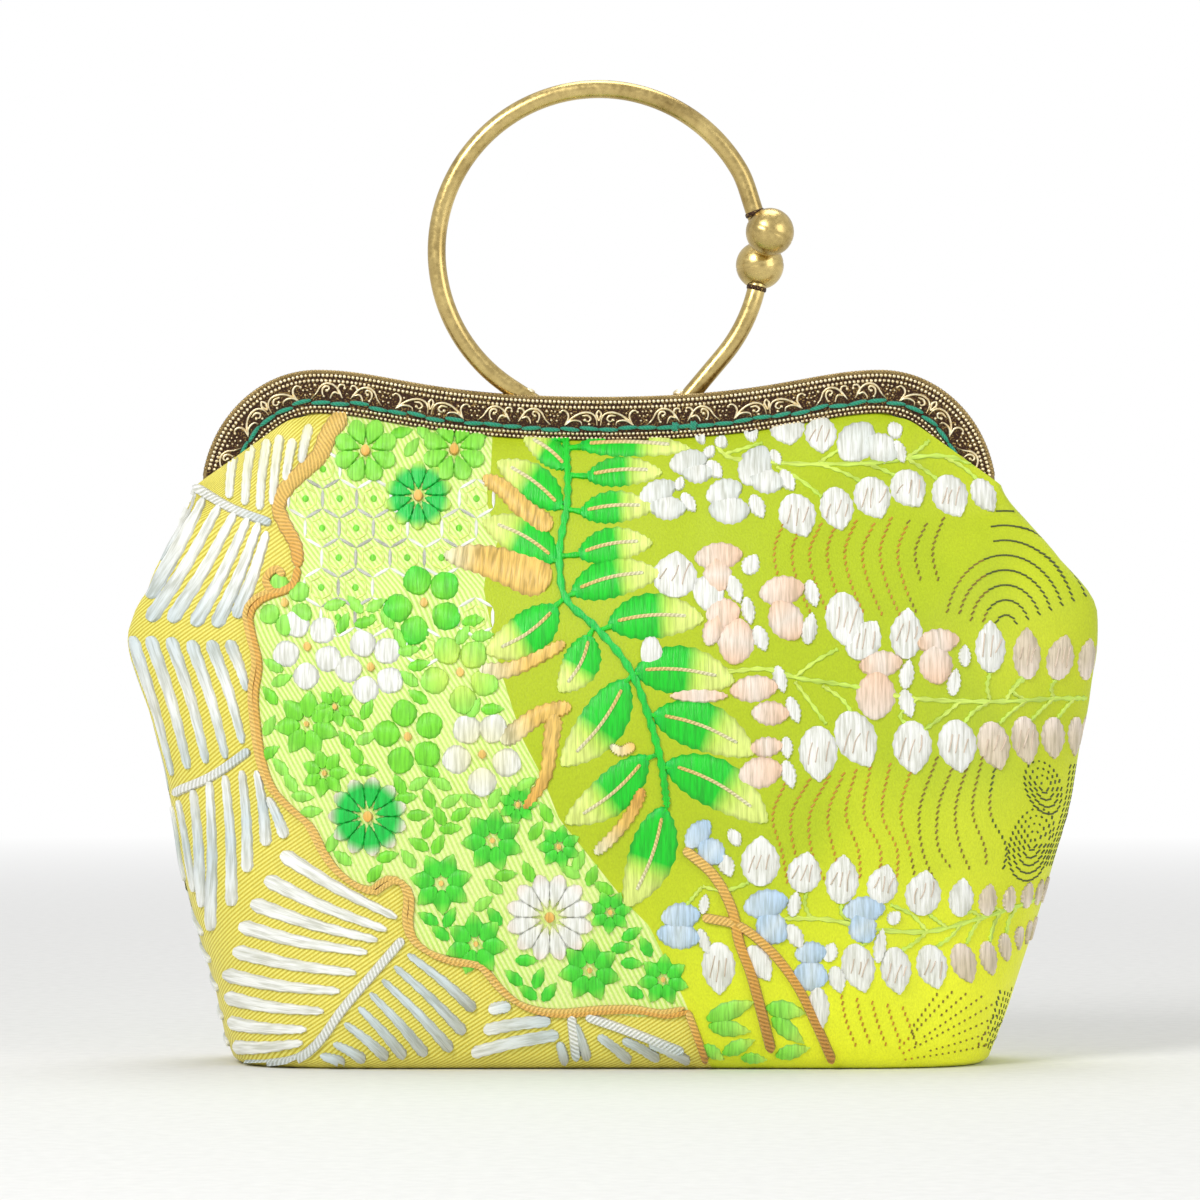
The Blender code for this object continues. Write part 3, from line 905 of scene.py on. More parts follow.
@dataclass
class PurseFrame:
    """One half of the stamped metal frame: rolled top edge, patina, beads and scrolls."""

    path: FramePath
    side: Side
    # Rows of beads: depth, radius, height and pitch.
    bead_rows: tuple[Row, ...] = (
        (0.00125, 0.00053, 0.00044, 0.00112), (0.0026, 0.00049, 0.00050, 0.00112),
        (0.00945, 0.00050, 0.00054, 0.00112), (0.01058, 0.00041, 0.00034, 0.00112))
    tooth_rows: tuple[Row, ...] = ((0.00022, 0.00045, 0.00036, 0.00100),)
    # The section of the rolled edge: depth and lift.
    roll: tuple[Paper, ...] = (
        (0.00085, 0.00002), (0.00075, 0.00016), (0.00030, 0.00020), (0.00002, 0.00008), (-0.00014, -0.00022),
        (-0.00018, -0.0007), (-0.00018, -0.0040), (-0.0001, -0.0045), (0.0001, -0.00462))
    end_room: float = 0.0050
    bead_room: float = 0.0008
    strip_step: float = 0.0009
    scroll_period: float = 0.0219
    scroll_width: float = 0.00034
    scroll_height: float = 0.00054
    blob_height: float = 0.00052
    face_lift: float = 0.00012
    patina_top: float = 0.0007
    patina_foot: float = 0.0111
    bead_angle: float = math.radians(75.0)

    @property
    def name(self) -> str:
        """The CAD node of this half of the frame."""
        return self.side.either("front_frame", "rear_frame")

    def point(self, along: float, depth: float, lift: float) -> Vector:
        """A point on the plate's outer face, lifted off it."""
        x, z = self.path.place(along, depth)
        return Vector((x, self.side.value * (FACE_Y + lift), z))

    def strip(self, word: str, section: Sequence[Paper], material: Material) -> Piece:
        """Sweep a section along the frame.

        Args:
            word: The end of the piece's name.
            section: Depths and lifts.
            material: The piece's finish.

        Returns:
            The piece.
        """
        end = self.path.reach - self.end_room
        count = int(2 * end / self.strip_step)
        skin = Skin()
        skin.grid([[self.point(-end + 2 * end * index / count, depth, lift) for depth, lift in section]
                   for index in range(count + 1)], flip=self.side is Side.FRONT)
        return skin.make(f"{self.name}_{word}", material)

    def rolled_top(self, material: Material) -> Piece:
        """The smooth rolled edge along the frame's top.

        Args:
            material: Its finish.

        Returns:
            The piece.
        """
        piece = self.strip("roll", self.roll, material)
        soften(piece)
        return piece

    def patina(self, material: Material) -> Piece:
        """The stamped ground of the plate.

        Args:
            material: Its finish.

        Returns:
            The piece.
        """
        top, foot, lift = self.patina_top, self.patina_foot, self.face_lift
        return self.strip("patina", ((top, 0.0), (top, lift), (0.0040, lift), (0.0075, lift), (foot, lift),
                                     (foot, -0.0002)), material)

    @staticmethod
    def dome(sides: int = 8) -> Shape:
        """Model a half bead of unit radius, the top of a ball.

        Args:
            sides: Its sides.

        Returns:
            Its points and its faces.
        """
        clear_selection()
        bpy.ops.mesh.primitive_uv_sphere_add(segments=sides, ring_count=4, radius=1.0)
        bead = bpy.context.object
        with editing(bead):
            bpy.ops.mesh.bisect(plane_co=(0.0, 0.0, -0.05), plane_no=(0.0, 0.0, 1.0), clear_inner=True)
        return taken_apart(bead)

    def add_bead(self, skin: Skin, dome: Shape, spot: Paper, radius: float, height: float,
                 long: float = 1.0) -> None:
        """Copy the half bead to a place on the plate.

        Args:
            skin: The skin that takes the bead.
            dome: The half bead.
            spot: Its length along the frame and its depth.
            radius: Its radius.
            height: Its height.
            long: Its size along the frame, as a share of its radius.
        """
        start = len(skin.points)
        points, faces = dome
        skin.points += [tuple(self.point(spot[0] + across * radius * long, spot[1] + down * radius,
                                         self.face_lift + up * height)) for across, down, up in points]
        for face in faces:
            shifted = tuple(start + index for index in face)
            skin.faces.append(self.side.either(shifted, shifted[::-1]))

    def beads(self, word: str, rows: Sequence[Row], material: Material) -> Piece:
        """Rows of stamped beads.

        Args:
            word: The end of the piece's name.
            rows: The depth, radius, height and pitch of each row.
            material: The piece's finish.

        Returns:
            The piece.
        """
        dome = self.dome()
        skin = Skin()
        end = self.path.reach - self.end_room - self.bead_room
        near = 0.0005
        for depth, radius, height, pitch in rows:
            along = -end
            while along < end:
                here, there = (Vector(self.path.place(along + step, depth)) for step in (0.0, near))
                spread = (there - here).length / near
                along += pitch / spread
                self.add_bead(skin, dome, (along, depth), radius, height, 1.0 / spread)
        piece = skin.make(f"{self.name}_{word}", material)
        soften(piece, self.bead_angle)
        return piece

    def ribbon(self, skin: Skin, curve: Sequence[Paper], centre: float, hand: float) -> None:
        """Lay one stamped scroll line.

        Args:
            skin: The skin that takes the line.
            curve: Its knots, in millimetres along and below the frame's top.
            centre: The length along the frame of the scroll's centre.
            hand: 1, or -1 where the scroll is mirrored.
        """
        knots = np.array(curve, float) / 1000.0
        steps = max(8, 3 * (len(knots) - 1))
        fine = smooth_line(knots, np.linspace(0.0, 1.0, steps + 1))
        rows = []
        for index, (along, depth) in enumerate(fine):
            before, after = fine[max(0, index - 1)], fine[min(steps, index + 1)]
            slope = (after - before) / (np.linalg.norm(after - before) + 1e-9)
            taper = 0.55 + 0.45 * math.sin(math.pi * (index / steps) ** 0.8)
            row = []
            for across, lift in ((-1.0, -0.1), (-0.65, 0.75), (0.0, 1.0), (0.65, 0.75), (1.0, -0.1)):
                wide = across * self.scroll_width * taper
                row.append(self.point(centre + hand * (along - slope[1] * wide), depth + slope[0] * wide,
                                      self.face_lift + lift * self.scroll_height * (0.6 + 0.4 * taper)))
            rows.append(row)
        skin.grid(rows, flip=(hand < 0.0) != (self.side is Side.REAR))

    def scrolls(self, material: Material) -> Piece:
        """Two stamped scrolls in turn along the frame, with blobs and small beads between them.

        Args:
            material: Their finish.

        Returns:
            The piece.
        """
        dome = self.dome()
        skin = Skin()
        for turn in range(-5, 6):
            centre = turn * self.scroll_period
            scroll = CURLED_SCROLL if turn % 2 else POINTED_SCROLL
            for hand in (-1.0, 1.0):
                if abs(centre + hand * scroll.reach * MILLI) > self.path.reach - self.end_room:
                    continue
                for curve in scroll.curves:
                    self.ribbon(skin, curve, centre, hand)
                for along, depth, radius in scroll.blobs:
                    self.add_bead(skin, dome, (centre + hand * along * MILLI, depth * MILLI), radius * MILLI,
                                  self.blob_height)
        piece = skin.make(f"{self.name}_scrolls", material)
        soften(piece, self.bead_angle)
        return piece

    def dress(self, plain: Material, worn: Material, dark: Material) -> None:
        """Build the relief and give the CAD's plate its finish.

        Args:
            plain: The finish of the plate and of its rolled edge.
            worn: The finish of the relief, pale brass that is worn bright and has a painted highlight.
            dark: The finish of the ground.
        """
        refinish(self.name, plain)
        for piece in (self.rolled_top(plain), self.patina(dark), self.beads("beads", self.bead_rows, worn),
                      self.beads("edge_teeth", self.tooth_rows, plain), self.scrolls(worn)):
            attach(piece, self.side.half)
            report(piece)


# ---------------------------------------------------------------- ring handle


@dataclass
class RingHandle:
    """The two arcs of the ring handle, their balls, collars and solder."""

    rise: float = 0.2101
    radius: float = 0.0421
    wire: float = 0.00235
    ball: float = 0.00625
    long_base: float = 237.0
    long_leave: float = 30.0
    short_leave: float = -40.0
    long_foot: float = 0.011
    short_foot: float = 0.018
    upper_angle: float = 6.3
    upper_out: float = 0.0025
    lower_angle: float = -4.4
    tip_angle: float = 10.5
    tip_lean: float = 25.0
    tip_reach: float = 0.0045
    sides: int = 28
    seam_turns: dict[Side, float] = field(default_factory=lambda: {Side.FRONT: 24.0, Side.REAR: -8.0})
    solder_places: dict[Side, Paper] = field(default_factory=lambda: {
        Side.FRONT: (-0.0184, 0.1736), Side.REAR: (0.0211, 0.1734)})

    def on_ring(self, degrees: float, y: float, out: float = 0.0) -> Vector:
        """A point of the ring's axis, or near it.

        Args:
            degrees: Where it stands on the ring, from the right and leftwards over the top.
            y: Its Y.
            out: How far it lies outside the ring's axis.

        Returns:
            The point.
        """
        angle = math.radians(degrees)
        reach = self.radius + out
        return Vector((reach * math.cos(angle), y, self.rise + reach * math.sin(angle)))

    def ball_place(self, side: Side) -> Vector:
        """The centre of a ball; the two balls stand side by side and nearly touch.

        Args:
            side: The half of the frame that the ball's arc stands on.

        Returns:
            The centre.
        """
        upper = self.on_ring(self.upper_angle, 0.0, self.upper_out)
        lower = self.on_ring(self.lower_angle, 0.0)
        apart = math.sqrt((2 * self.ball + GAP) ** 2 - (upper - lower).length_squared)
        return side.either(upper, lower) + Vector((0.0, side.value * apart / 2, 0.0))

    def axis(self, side: Side) -> list[Vector]:
        """The axis of one arc.

        Args:
            side: The half of the frame that the arc stands on.

        Returns:
            Its points, from inside the frame to inside its ball.
        """
        y = side.value * MIDDLE_Y
        turn = side.either(1, -1)
        base, leave = side.either((self.long_base, self.long_leave), (self.short_leave, self.lower_angle))
        angle = math.radians(base)
        start = self.on_ring(base, y)
        along = Vector((-math.sin(angle) * turn, 0.0, math.cos(angle) * turn))
        foot = side.either(self.long_foot, self.short_foot)
        points = [start + along * foot * share for share in (1.0, 0.7, 0.35, 0.12)]
        steps = int(abs(leave - base) / 2.0)
        points += [self.on_ring(base + (leave - base) * step / steps, y) for step in range(steps + 1)]
        ball = self.ball_place(side)
        if side is Side.FRONT:
            first = points[-1]
            tip = self.on_ring(self.tip_angle, (y + ball.y) / 2)
            first_way, last_way = (Vector((math.sin(math.radians(lean)), 0.0, -math.cos(math.radians(lean))))
                                   * self.tip_reach for lean in (self.long_leave, self.tip_lean))
            points += [bezier(first, first + first_way, tip - last_way, tip, step / 12.0)
                       for step in range(1, 13)]
        else:
            for step in range(1, 8):
                share = ease(step / 7.0, 0.0, 1.0)
                points[-8 + step].y += (ball.y - y) / 2 * share
        return points

    def arc(self, side: Side, material: Material) -> Piece:
        """Model one arc of wire.

        Args:
            side: The half of the frame that the arc stands on.
            material: Its finish.

        Returns:
            The piece.
        """
        name = side.either("long_arc", "short_arc")
        piece = swept(f"{name}_wire", self.axis(side), self.wire, self.sides, material)
        soften(piece, math.radians(60.0))
        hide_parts(name)
        return piece

    def clasp_ball(self, side: Side, material: Material) -> Piece:
        """Model a ball with the thin seam that its two pressed halves leave.

        Args:
            side: The half of the frame that the ball's arc stands on.
            material: Its finish.

        Returns:
            The piece.
        """
        name = side.either("upper_ball", "lower_ball")
        clear_selection()
        bpy.ops.mesh.primitive_uv_sphere_add(segments=48, ring_count=33, radius=self.ball)
        piece = bpy.context.object
        with editing(piece):
            bpy.ops.mesh.bisect(plane_co=(0.0, 0.0, 0.0), plane_no=(0.0, 0.0, 1.0))
            bpy.ops.transform.resize(value=(0.985, 0.985, 1.0), center_override=(0.0, 0.0, 0.0))
        settle(piece, f"{name}_shell", material, self.ball_place(side), math.radians(self.seam_turns[side]))
        soften(piece, math.radians(70.0))
        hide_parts(name)
        return piece

    def collar(self, side: Side, material: Material) -> Piece:
        """Model the dark ring where an arc enters its ball.

        Args:
            side: The half of the frame that the arc stands on.
            material: The ring's finish.

        Returns:
            The piece.
        """
        axis = self.axis(side)
        ball = self.ball_place(side)
        near = min(axis, key=lambda point: abs((point - ball).length - self.ball * 0.98))
        index = axis.index(near)
        along = axis[min(index + 1, len(axis) - 1)] - axis[index - 1]
        clear_selection()
        bpy.ops.mesh.primitive_cylinder_add(vertices=self.sides, radius=self.wire * 1.12, depth=0.0013)
        piece = bpy.context.object
        with editing(piece):
            bpy.ops.mesh.select_all(action="DESELECT")
            bpy.ops.mesh.edges_select_sharp(sharpness=1.0)
            bpy.ops.mesh.bevel(offset=0.0004, segments=3)
        settle(piece, side.either("upper_collar", "lower_collar"), material, near,
               math.atan2(along.x, along.z))
        soften(piece)
        return piece

    def solder(self, side: Side, material: Material) -> Piece:
        """Model the bead of solder at the inner side of an arc's base.

        Args:
            side: The half of the frame that the arc stands on.
            material: The bead's finish.

        Returns:
            The piece.
        """
        x, z = self.solder_places[side]
        clear_selection()
        bpy.ops.mesh.primitive_uv_sphere_add(segments=20, ring_count=12, radius=0.0014)
        piece = bpy.context.object
        with editing(piece):
            bpy.ops.transform.vertex_random(offset=0.0003, uniform=0.2, normal=0.8, seed=5 + side.value)
            bpy.ops.mesh.vertices_smooth(factor=0.5, repeat=4)
            bpy.ops.transform.resize(value=(1.35, 1.05, 0.8), center_override=(0.0, 0.0, 0.0))
        settle(piece, side.either("long_arc_solder", "short_arc_solder"), material,
               (x, side.value * MIDDLE_Y, z))
        soften(piece, math.radians(80.0))
        return piece

    def dress(self, wire: Material, dark: Material, bright: Material) -> None:
        """Build the handle's pieces, each on its half of the frame.

        Args:
            wire: The finish of the arcs and the balls.
            dark: The finish of the collars.
            bright: The finish of the solder, the pale relief brass, worn and with a painted highlight.
        """
        for side in Side:
            for piece in (self.arc(side, wire), self.clasp_ball(side, wire), self.collar(side, dark),
                          self.solder(side, bright)):
                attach(piece, side.half)
                report(piece)


# ---------------------------------------------------------------- sewing thread


@dataclass
class SewingThread:
    """The teal backstitches that hold the cloth in one half of the frame."""

    path: FramePath
    side: Side
    end_rise: float = 0.009
    knots: tuple[float, ...] = (0.0196, 0.0243)
    knot_turns: tuple[float, ...] = (65.0, 118.0, 155.0)
    knot_reach: float = 0.0011
    stray: float = 0.0005
    radius: float = 0.00052
    sides: int = 8
    steps: int = 8

    def holes(self) -> list[float]:
        """Find the sewing holes.

        Returns:
            Their lengths along the frame's middle.
        """
        fine = np.linspace(0.0, self.path.reach, 700)
        places = np.array([self.path.place(along, STITCH_DEPTH) for along in fine])
        gone = walked(places)
        last = gone[places[:, 1] >= HINGE_Z + self.end_rise][-1]
        count = int(2 * last / STITCH_PITCH) + 1
        first = -(count - 1) * STITCH_PITCH / 2
        wanted = [first + STITCH_PITCH * index for index in range(count)]
        return [math.copysign(float(np.interp(abs(mark), gone, fine)), mark) for mark in wanted]

    def stitch(self, skin: Skin, ends: Sequence[tuple[float, float]], rise: float, offset: float) -> None:
        """Lay one plump stitch.

        Args:
            skin: The skin that takes the stitch.
            ends: Lengths along the frame and depths below its top of the two ends.
            rise: How far the stitch stands off the plate, over its radius.
            offset: Where the stitch starts on the twist of the thread.
        """
        (start, low), (finish, high) = ends
        path = []
        for step in range(self.steps + 1):
            t = step / self.steps
            x, z = self.path.place(start + (finish - start) * (0.03 + 0.94 * t), low + (high - low) * t)
            y = FACE_Y + self.radius * (rise + 0.95 * math.sin(math.pi * t) ** 0.5)
            path.append(Vector((x, self.side.value * y, z)))
        rows = tube_rows(path, self.radius, self.sides)
        for index, (centre, row) in enumerate(zip(path, rows)):
            swell = 0.62 + 0.5 * math.sin(math.pi * index / self.steps) ** 0.6
            row[:] = [centre + (point - centre) * swell for point in row]
            skin.threads += [(corner * 0.0004, offset + index * 0.0006) for corner in range(self.sides)]
            skin.dyes += [Dye.TEAL.colour] * self.sides
        skin.grid(rows, flip=True, closed=True)

    def dress(self, material: Material) -> None:
        """Lay one stitch from each hole to the next, and the knots of the front.

        Args:
            material: The thread's finish.
        """
        rng = random.Random(31 + self.side.value)
        holes = self.holes()
        skin = Skin()
        for start, finish in zip(holes, holes[1:]):
            low, high = (STITCH_DEPTH + rng.uniform(-self.stray, self.stray) for _ in range(2))
            self.stitch(skin, ((start, low), (finish, high)), 0.35, rng.random())
        for knot in self.knots if self.side is Side.FRONT else ():
            for angle in self.knot_turns:
                along, down = (self.knot_reach * turn(math.radians(angle)) for turn in (math.cos, math.sin))
                self.stitch(skin, ((knot - along, STITCH_DEPTH - down), (knot + along, STITCH_DEPTH + down)),
                            0.9, rng.random())
        name = self.side.either("front_thread", "rear_thread")
        piece = skin.make(f"{name}_stitches", material)
        with editing(piece):
            bpy.ops.mesh.normals_make_consistent(inside=False)
        soften(piece, math.radians(80.0))
        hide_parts(name)
        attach(piece, self.side.half)
        LOG.info("%s: %d stitches", piece.name, len(holes) - 1)


# ---------------------------------------------------------------- cloth bag


@dataclass
class BagShape:
    """Outline, depth and squareness of the bag by height, in millimetres."""

    # Each row: height, left edge and right edge.
    outline: tuple[Row, ...] = (
        (0.0, -94.4, 100.8), (5.2, -96.5, 102.7), (13.0, -98.3, 105.8), (20.8, -100.1, 108.4),
        (28.6, -102.7, 111.0), (36.4, -104.8, 113.6), (44.2, -106.9, 116.0), (52.0, -108.9, 118.3),
        (59.8, -110.0, 120.6), (67.6, -111.3, 122.7), (75.4, -112.8, 124.0), (83.2, -114.9, 125.3),
        (91.0, -117.0, 127.1), (98.8, -119.9, 128.2), (106.6, -122.2, 129.5), (110.5, -122.5, 129.7),
        (114.4, -121.4, 129.7), (118.3, -119.9, 129.2), (122.2, -117.3, 127.1), (126.1, -116.0, 123.8),
        (130.0, -114.1, 120.1), (133.9, -112.3, 117.0), (137.8, -110.0, 113.4), (140.5, -108.6, 111.0),
    )
    # Each row: height, half depth, and how square the section is across and in depth.
    sections: tuple[Row, ...] = (
        (3.0, 33.0, 6.0, 2.6), (13.0, 35.0, 5.0, 2.3), (30.0, 36.0, 4.2, 2.0), (52.0, 35.8, 3.6, 1.8),
        (80.0, 34.0, 3.0, 1.6), (103.0, 30.4, 2.6, 1.45), (112.0, 28.5, 2.5, 1.42), (124.0, 24.4, 2.7, 1.45),
        (140.5, 17.5, 3.0, 1.5),
    )

    def __post_init__(self) -> None:
        """Make smooth functions of the tables."""
        heights, lefts, rights = zip(*self.outline)
        self.half = smooth_table(heights, [(right - left) / 2 for left, right in zip(lefts, rights)])
        self.shift = smooth_table(heights, [(right + left) / 2 for left, right in zip(lefts, rights)])
        marks, *columns = zip(*self.sections)
        self.depth, self.flat, self.round = (smooth_table(marks, column) for column in columns)

    def spot(self, u: float, z: float, inset: float = 0.0) -> Vector:
        """A point of the front of the bag.

        Args:
            u: Its place across, from -1 at the left seam to 1 at the right one.
            z: Its height.
            inset: How far it lies inside the cloth.

        Returns:
            The point.
        """
        up = z * 1000.0
        turn = math.sin(math.pi * u / 2)
        half = self.half(up) / 1000.0 - inset
        depth = self.depth(up) / 1000.0 - inset
        share = 1.0 - abs(turn) ** self.flat(up)
        y = depth * max(0.0, share) ** (1.0 / self.round(up))
        return Vector((self.shift(up) / 1000.0 + half * turn, -y - HALF_SEAM, z))


def side_skin(rows: list[list[Vector]], side: Side) -> Skin:
    """A skin of rows of the front, mirrored for the rear.

    Args:
        rows: Rows of points.
        side: The side that the skin is for.

    Returns:
        The open skin.
    """
    if side is Side.REAR:
        rows = [[Vector((spot.x, -spot.y, spot.z)) for spot in row] for row in rows]
    skin = Skin()
    skin.grid(rows, flip=side is Side.REAR)
    return skin


def thicken(piece: Piece, thickness: float) -> None:
    """Give a cloth its thickness inwards.

    Args:
        piece: The cloth.
        thickness: Its thickness.
    """
    wall = piece.modifiers.new("thickness", "SOLIDIFY")
    wall.thickness = thickness
    wall.offset = -1.0
    pick(piece)
    bpy.ops.object.modifier_apply(modifier=wall.name)
    soften(piece, math.radians(60.0))


@dataclass
class BrocadeBag:
    """The outer cloth of one side of the bag, from under the base up into the frame."""

    shape: BagShape
    path: FramePath
    side: Side
    columns: int = 150
    row_pitch: float = 0.0026
    neck_rows: int = 15
    thickness: float = 0.0009
    round_corner: float = 0.0026
    round_middle: float = 0.0062
    wall_foot: float = 0.007
    rim_half: float = 0.1046
    crest_half: float = 0.0815
    crest_z: float = 0.1656
    ear_z: float = 0.1492
    tuck_half: float = 0.0915
    # Folds and dents, in millimetres: place, height, reach across, reach upwards, push and lean.
    folds: tuple[Row, ...] = (
        (70.0, 152.0, 9.0, 26.0, -1.1, 0.35), (96.0, 128.0, 7.0, 20.0, 0.9, 0.9),
        (-76.0, 158.0, 6.0, 9.0, -1.6, -0.2), (-92.0, 130.0, 8.0, 24.0, 0.8, -0.6),
        (82.0, 22.0, 6.0, 26.0, -0.9, -0.15), (28.0, 150.0, 5.0, 16.0, -0.5, 0.3),
        (-30.0, 146.0, 6.0, 18.0, -0.4, -0.3), (45.0, 118.0, 12.0, 40.0, 0.5, 0.25))
    fold_strength: float = 1.35

    def rim(self, u: float) -> tuple[Vector, Vector]:
        """The cloth's edge, tucked under the frame in the middle and over the frame's end at the seam.

        Args:
            u: The place across, from -1 to 1.

        Returns:
            The edge's point and the direction in which the cloth arrives there.
        """
        turn = math.sin(math.pi * u / 2)
        x = self.rim_half * turn
        wide = abs(x)
        slope = (self.crest_z - self.ear_z) / (self.rim_half - self.crest_half)
        tucked = self.path.lower_edge(min(wide, self.tuck_half)) + 0.0009 - 0.0016 * ease(wide, 0.072, 0.0775)
        over = self.crest_z - (wide - self.crest_half) * slope
        share = ease(wide, 0.0765, 0.0835)
        z = tucked * (1.0 - share) + over * share
        inner = -0.0036 - 0.0026 * ease(wide, 0.073, 0.081)
        y = inner * max(0.0, 1.0 - abs(turn) ** 120.0) ** 0.5 - HALF_SEAM
        arrive = Vector((0.0, 0.72, 0.70)).lerp(Vector((-0.25 * math.copysign(1.0, u), 0.30, 0.9)), share)
        return Vector((x, y, z)), arrive.normalized()

    def ripple(self, spot: Vector) -> float:
        """Push the cloth out and in, in soft folds and dents.

        Args:
            spot: A point of the front.

        Returns:
            How far the cloth stands out there.
        """
        x, z = spot.x * 1000.0, spot.z * 1000.0
        wave = noise.noise(Vector((x / 46.0, z / 58.0, 3.1 + self.side.value))) * 1.3
        wave += noise.noise(Vector((x / 20.0, z / 30.0, 9.7 + self.side.value))) * 0.45
        for place, height, reach, rise, push, lean in self.folds:
            across = self.side.either(x, -x) - place - lean * (z - height)
            wave += push * math.exp(-(across / reach) ** 2 - ((z - height) / rise) ** 2)
        calm = ease(z, 4.0, 22.0) * (1.0 - ease(z, 149.0, 159.0))
        return self.fold_strength * wave * calm / 1000.0

    def rows(self) -> list[list[Vector]]:
        """Shape the outer surface, as it is on the front.

        Returns:
            Rows of points, from the middle of the base up to the rim.
        """
        shape = self.shape
        spread = [-1.0 + 2.0 * column / self.columns for column in range(self.columns + 1)]
        corner = [self.round_corner + (self.round_middle - self.round_corner) * math.cos(math.pi * u / 2) ** 2
                  for u in spread]
        made = []
        for share in (0.0, 0.25, 0.5, 0.75):
            edges = [shape.spot(u, 0.0, bend) for u, bend in zip(spread, corner)]
            made.append([Vector((edge.x, (edge.y + HALF_SEAM) * share - HALF_SEAM, 0.0)) for edge in edges])
        for turn in map(math.radians, (0.0, 22.0, 45.0, 67.0)):
            made.append([shape.spot(u, bend * (1.0 - math.cos(turn)), bend * (1.0 - math.sin(turn)))
                         for u, bend in zip(spread, corner)])
        count = int((SHOULDER_Z - self.wall_foot) / self.row_pitch)
        for index in range(count + 1):
            z = self.wall_foot + (SHOULDER_Z - self.wall_foot) * index / count
            made.append([shape.spot(u, z) for u in spread])
        below = [shape.spot(u, SHOULDER_Z - 0.006) for u in spread]
        foot = made[-1]
        edges = [self.rim(u) for u in spread]
        for index in range(1, self.neck_rows + 1):
            t = index / self.neck_rows
            row = []
            for start, under, (finish, arrive) in zip(foot, below, edges):
                reach = (finish - start).length
                leave = (start - under).normalized() * reach * 1.05
                row.append(hermite(t, start, leave, finish, arrive * reach))
            made.append(row)
        for row in made:
            for u, spot in zip(spread, row):
                spot.y -= self.ripple(spot) * ease(1.0 - abs(u), 0.0, 0.12)
        return made

    def dress(self, material: Material, fields: dict[str, Sequence[Paper]],
              chart: Chart) -> BVHTree:
        """Build the cloth with its woven fields.

        Args:
            material: The brocade's ground.
            fields: Outlines of the woven fields on point paper, by attribute name.
            chart: Where the point paper lies on this side.

        Returns:
            A tree of the outer surface, for what is laid on the cloth.
        """
        skin = side_skin(self.rows(), self.side)
        grid = np.array(skin.points).reshape(-1, self.columns + 1, 3)
        around = np.cumsum(np.linalg.norm(np.diff(grid, axis=1, prepend=grid[:, :1]), axis=2), axis=1)
        around -= around[:, self.columns // 2, None]
        upward = np.cumsum(np.linalg.norm(np.diff(grid, axis=0, prepend=grid[:1]), axis=2), axis=0)
        upward = np.repeat(upward[:, self.columns // 2, None], self.columns + 1, axis=1)
        skin.threads = [tuple(pair) for pair in np.stack((around, upward), axis=2).reshape(-1, 2)]
        tree = BVHTree.FromPolygons(skin.points, skin.faces)
        piece = skin.make(f"{self.side.word}_brocade", material)
        points = np.array(skin.points)
        for name, outline in fields.items():
            layer = piece.data.attributes.new(name, "FLOAT", "POINT")
            ring = np.array([chart.place(spot) for spot in outline])
            layer.data.foreach_set("value", inside_by(points[:, (0, 2)], ring).astype(np.float32))
        thicken(piece, self.thickness)
        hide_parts(f"{self.side.word}_panel")
        hang(piece)
        report(piece)
        return tree


def hang(piece: Piece) -> None:
    """Bake a cloth piece's placement into its mesh."""
    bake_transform(piece)


def inside_by(points: np.ndarray, ring: np.ndarray) -> np.ndarray:
    """How far points lie inside a closed outline, negative outside it.

    Args:
        points: Points of a plane.
        ring: Corners of the outline.

    Returns:
        One distance for each point.
    """
    nearest = np.full(len(points), 1e9)
    inside = np.zeros(len(points), bool)
    for start, finish in zip(ring, np.roll(ring, -1, axis=0)):
        along = finish - start
        share = np.clip(((points - start) @ along) / (along @ along), 0.0, 1.0)
        away = points - start - share[:, None] * along
        nearest = np.minimum(nearest, np.linalg.norm(away, axis=1))
        crosses = (start[1] > points[:, 1]) != (finish[1] > points[:, 1])
        rise = finish[1] - start[1] if finish[1] != start[1] else 1e-12
        left = points[:, 0] < start[0] + (points[:, 1] - start[1]) * along[0] / rise
        inside ^= crosses & left
    return np.where(inside, nearest, -nearest)


@dataclass
class Chart:
    """Where the point paper lies on one side of the bag."""

    side: Side

    def place(self, spot: Paper) -> tuple[float, float]:
        """Find a square of the point paper; on the back the paper is turned upside down.

        Args:
            spot: Its column and row.

        Returns:
            Its X and Z.
        """
        x = (spot[0] - PAPER_MIDDLE) * PAPER_SQUARE
        z = (PAPER_FOOT - spot[1]) * PAPER_SQUARE
        return x, self.side.either(z, PAPER_TURN_Z - z)


@dataclass
class BagLining:
    """The plain cloth that lines one side of the bag, a little inside the brocade."""

    bag: BrocadeBag
    inset: float = 0.0018
    thickness: float = 0.0005
    floor: float = 0.0033
    rim_rows: int = 1

    def rows(self) -> list[list[Vector]]:
        """Shape the lining's outer surface, as it is on the front.

        Returns:
            Rows of points, from the floor up to the rim inside the neck.
        """
        grid = np.array([[spot[:] for spot in row] for row in self.bag.rows()])
        outward = np.cross(np.gradient(grid, axis=1), np.gradient(grid, axis=0))
        outward /= np.linalg.norm(outward, axis=2, keepdims=True) + 1e-12
        outward *= -np.sign(outward[len(grid) // 2, grid.shape[1] // 2, 1])
        inner = grid - outward * self.inset
        inner[:, :, 2] = np.maximum(inner[:, :, 2], self.floor)
        inner[:, :, 1] = np.minimum(inner[:, :, 1], -HALF_SEAM)
        return [[Vector(spot) for spot in row] for row in inner[:-self.rim_rows]]

    def dress(self, material: Material) -> None:
        """Build the lining.

        Args:
            material: Its finish.
        """
        side = self.bag.side
        piece = side_skin(self.rows(), side).make(f"{side.word}_lining_cloth", material)
        thicken(piece, self.thickness)
        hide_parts(f"{side.word}_lining")
        hang(piece)
        report(piece)


# ---------------------------------------------------------------- weaving


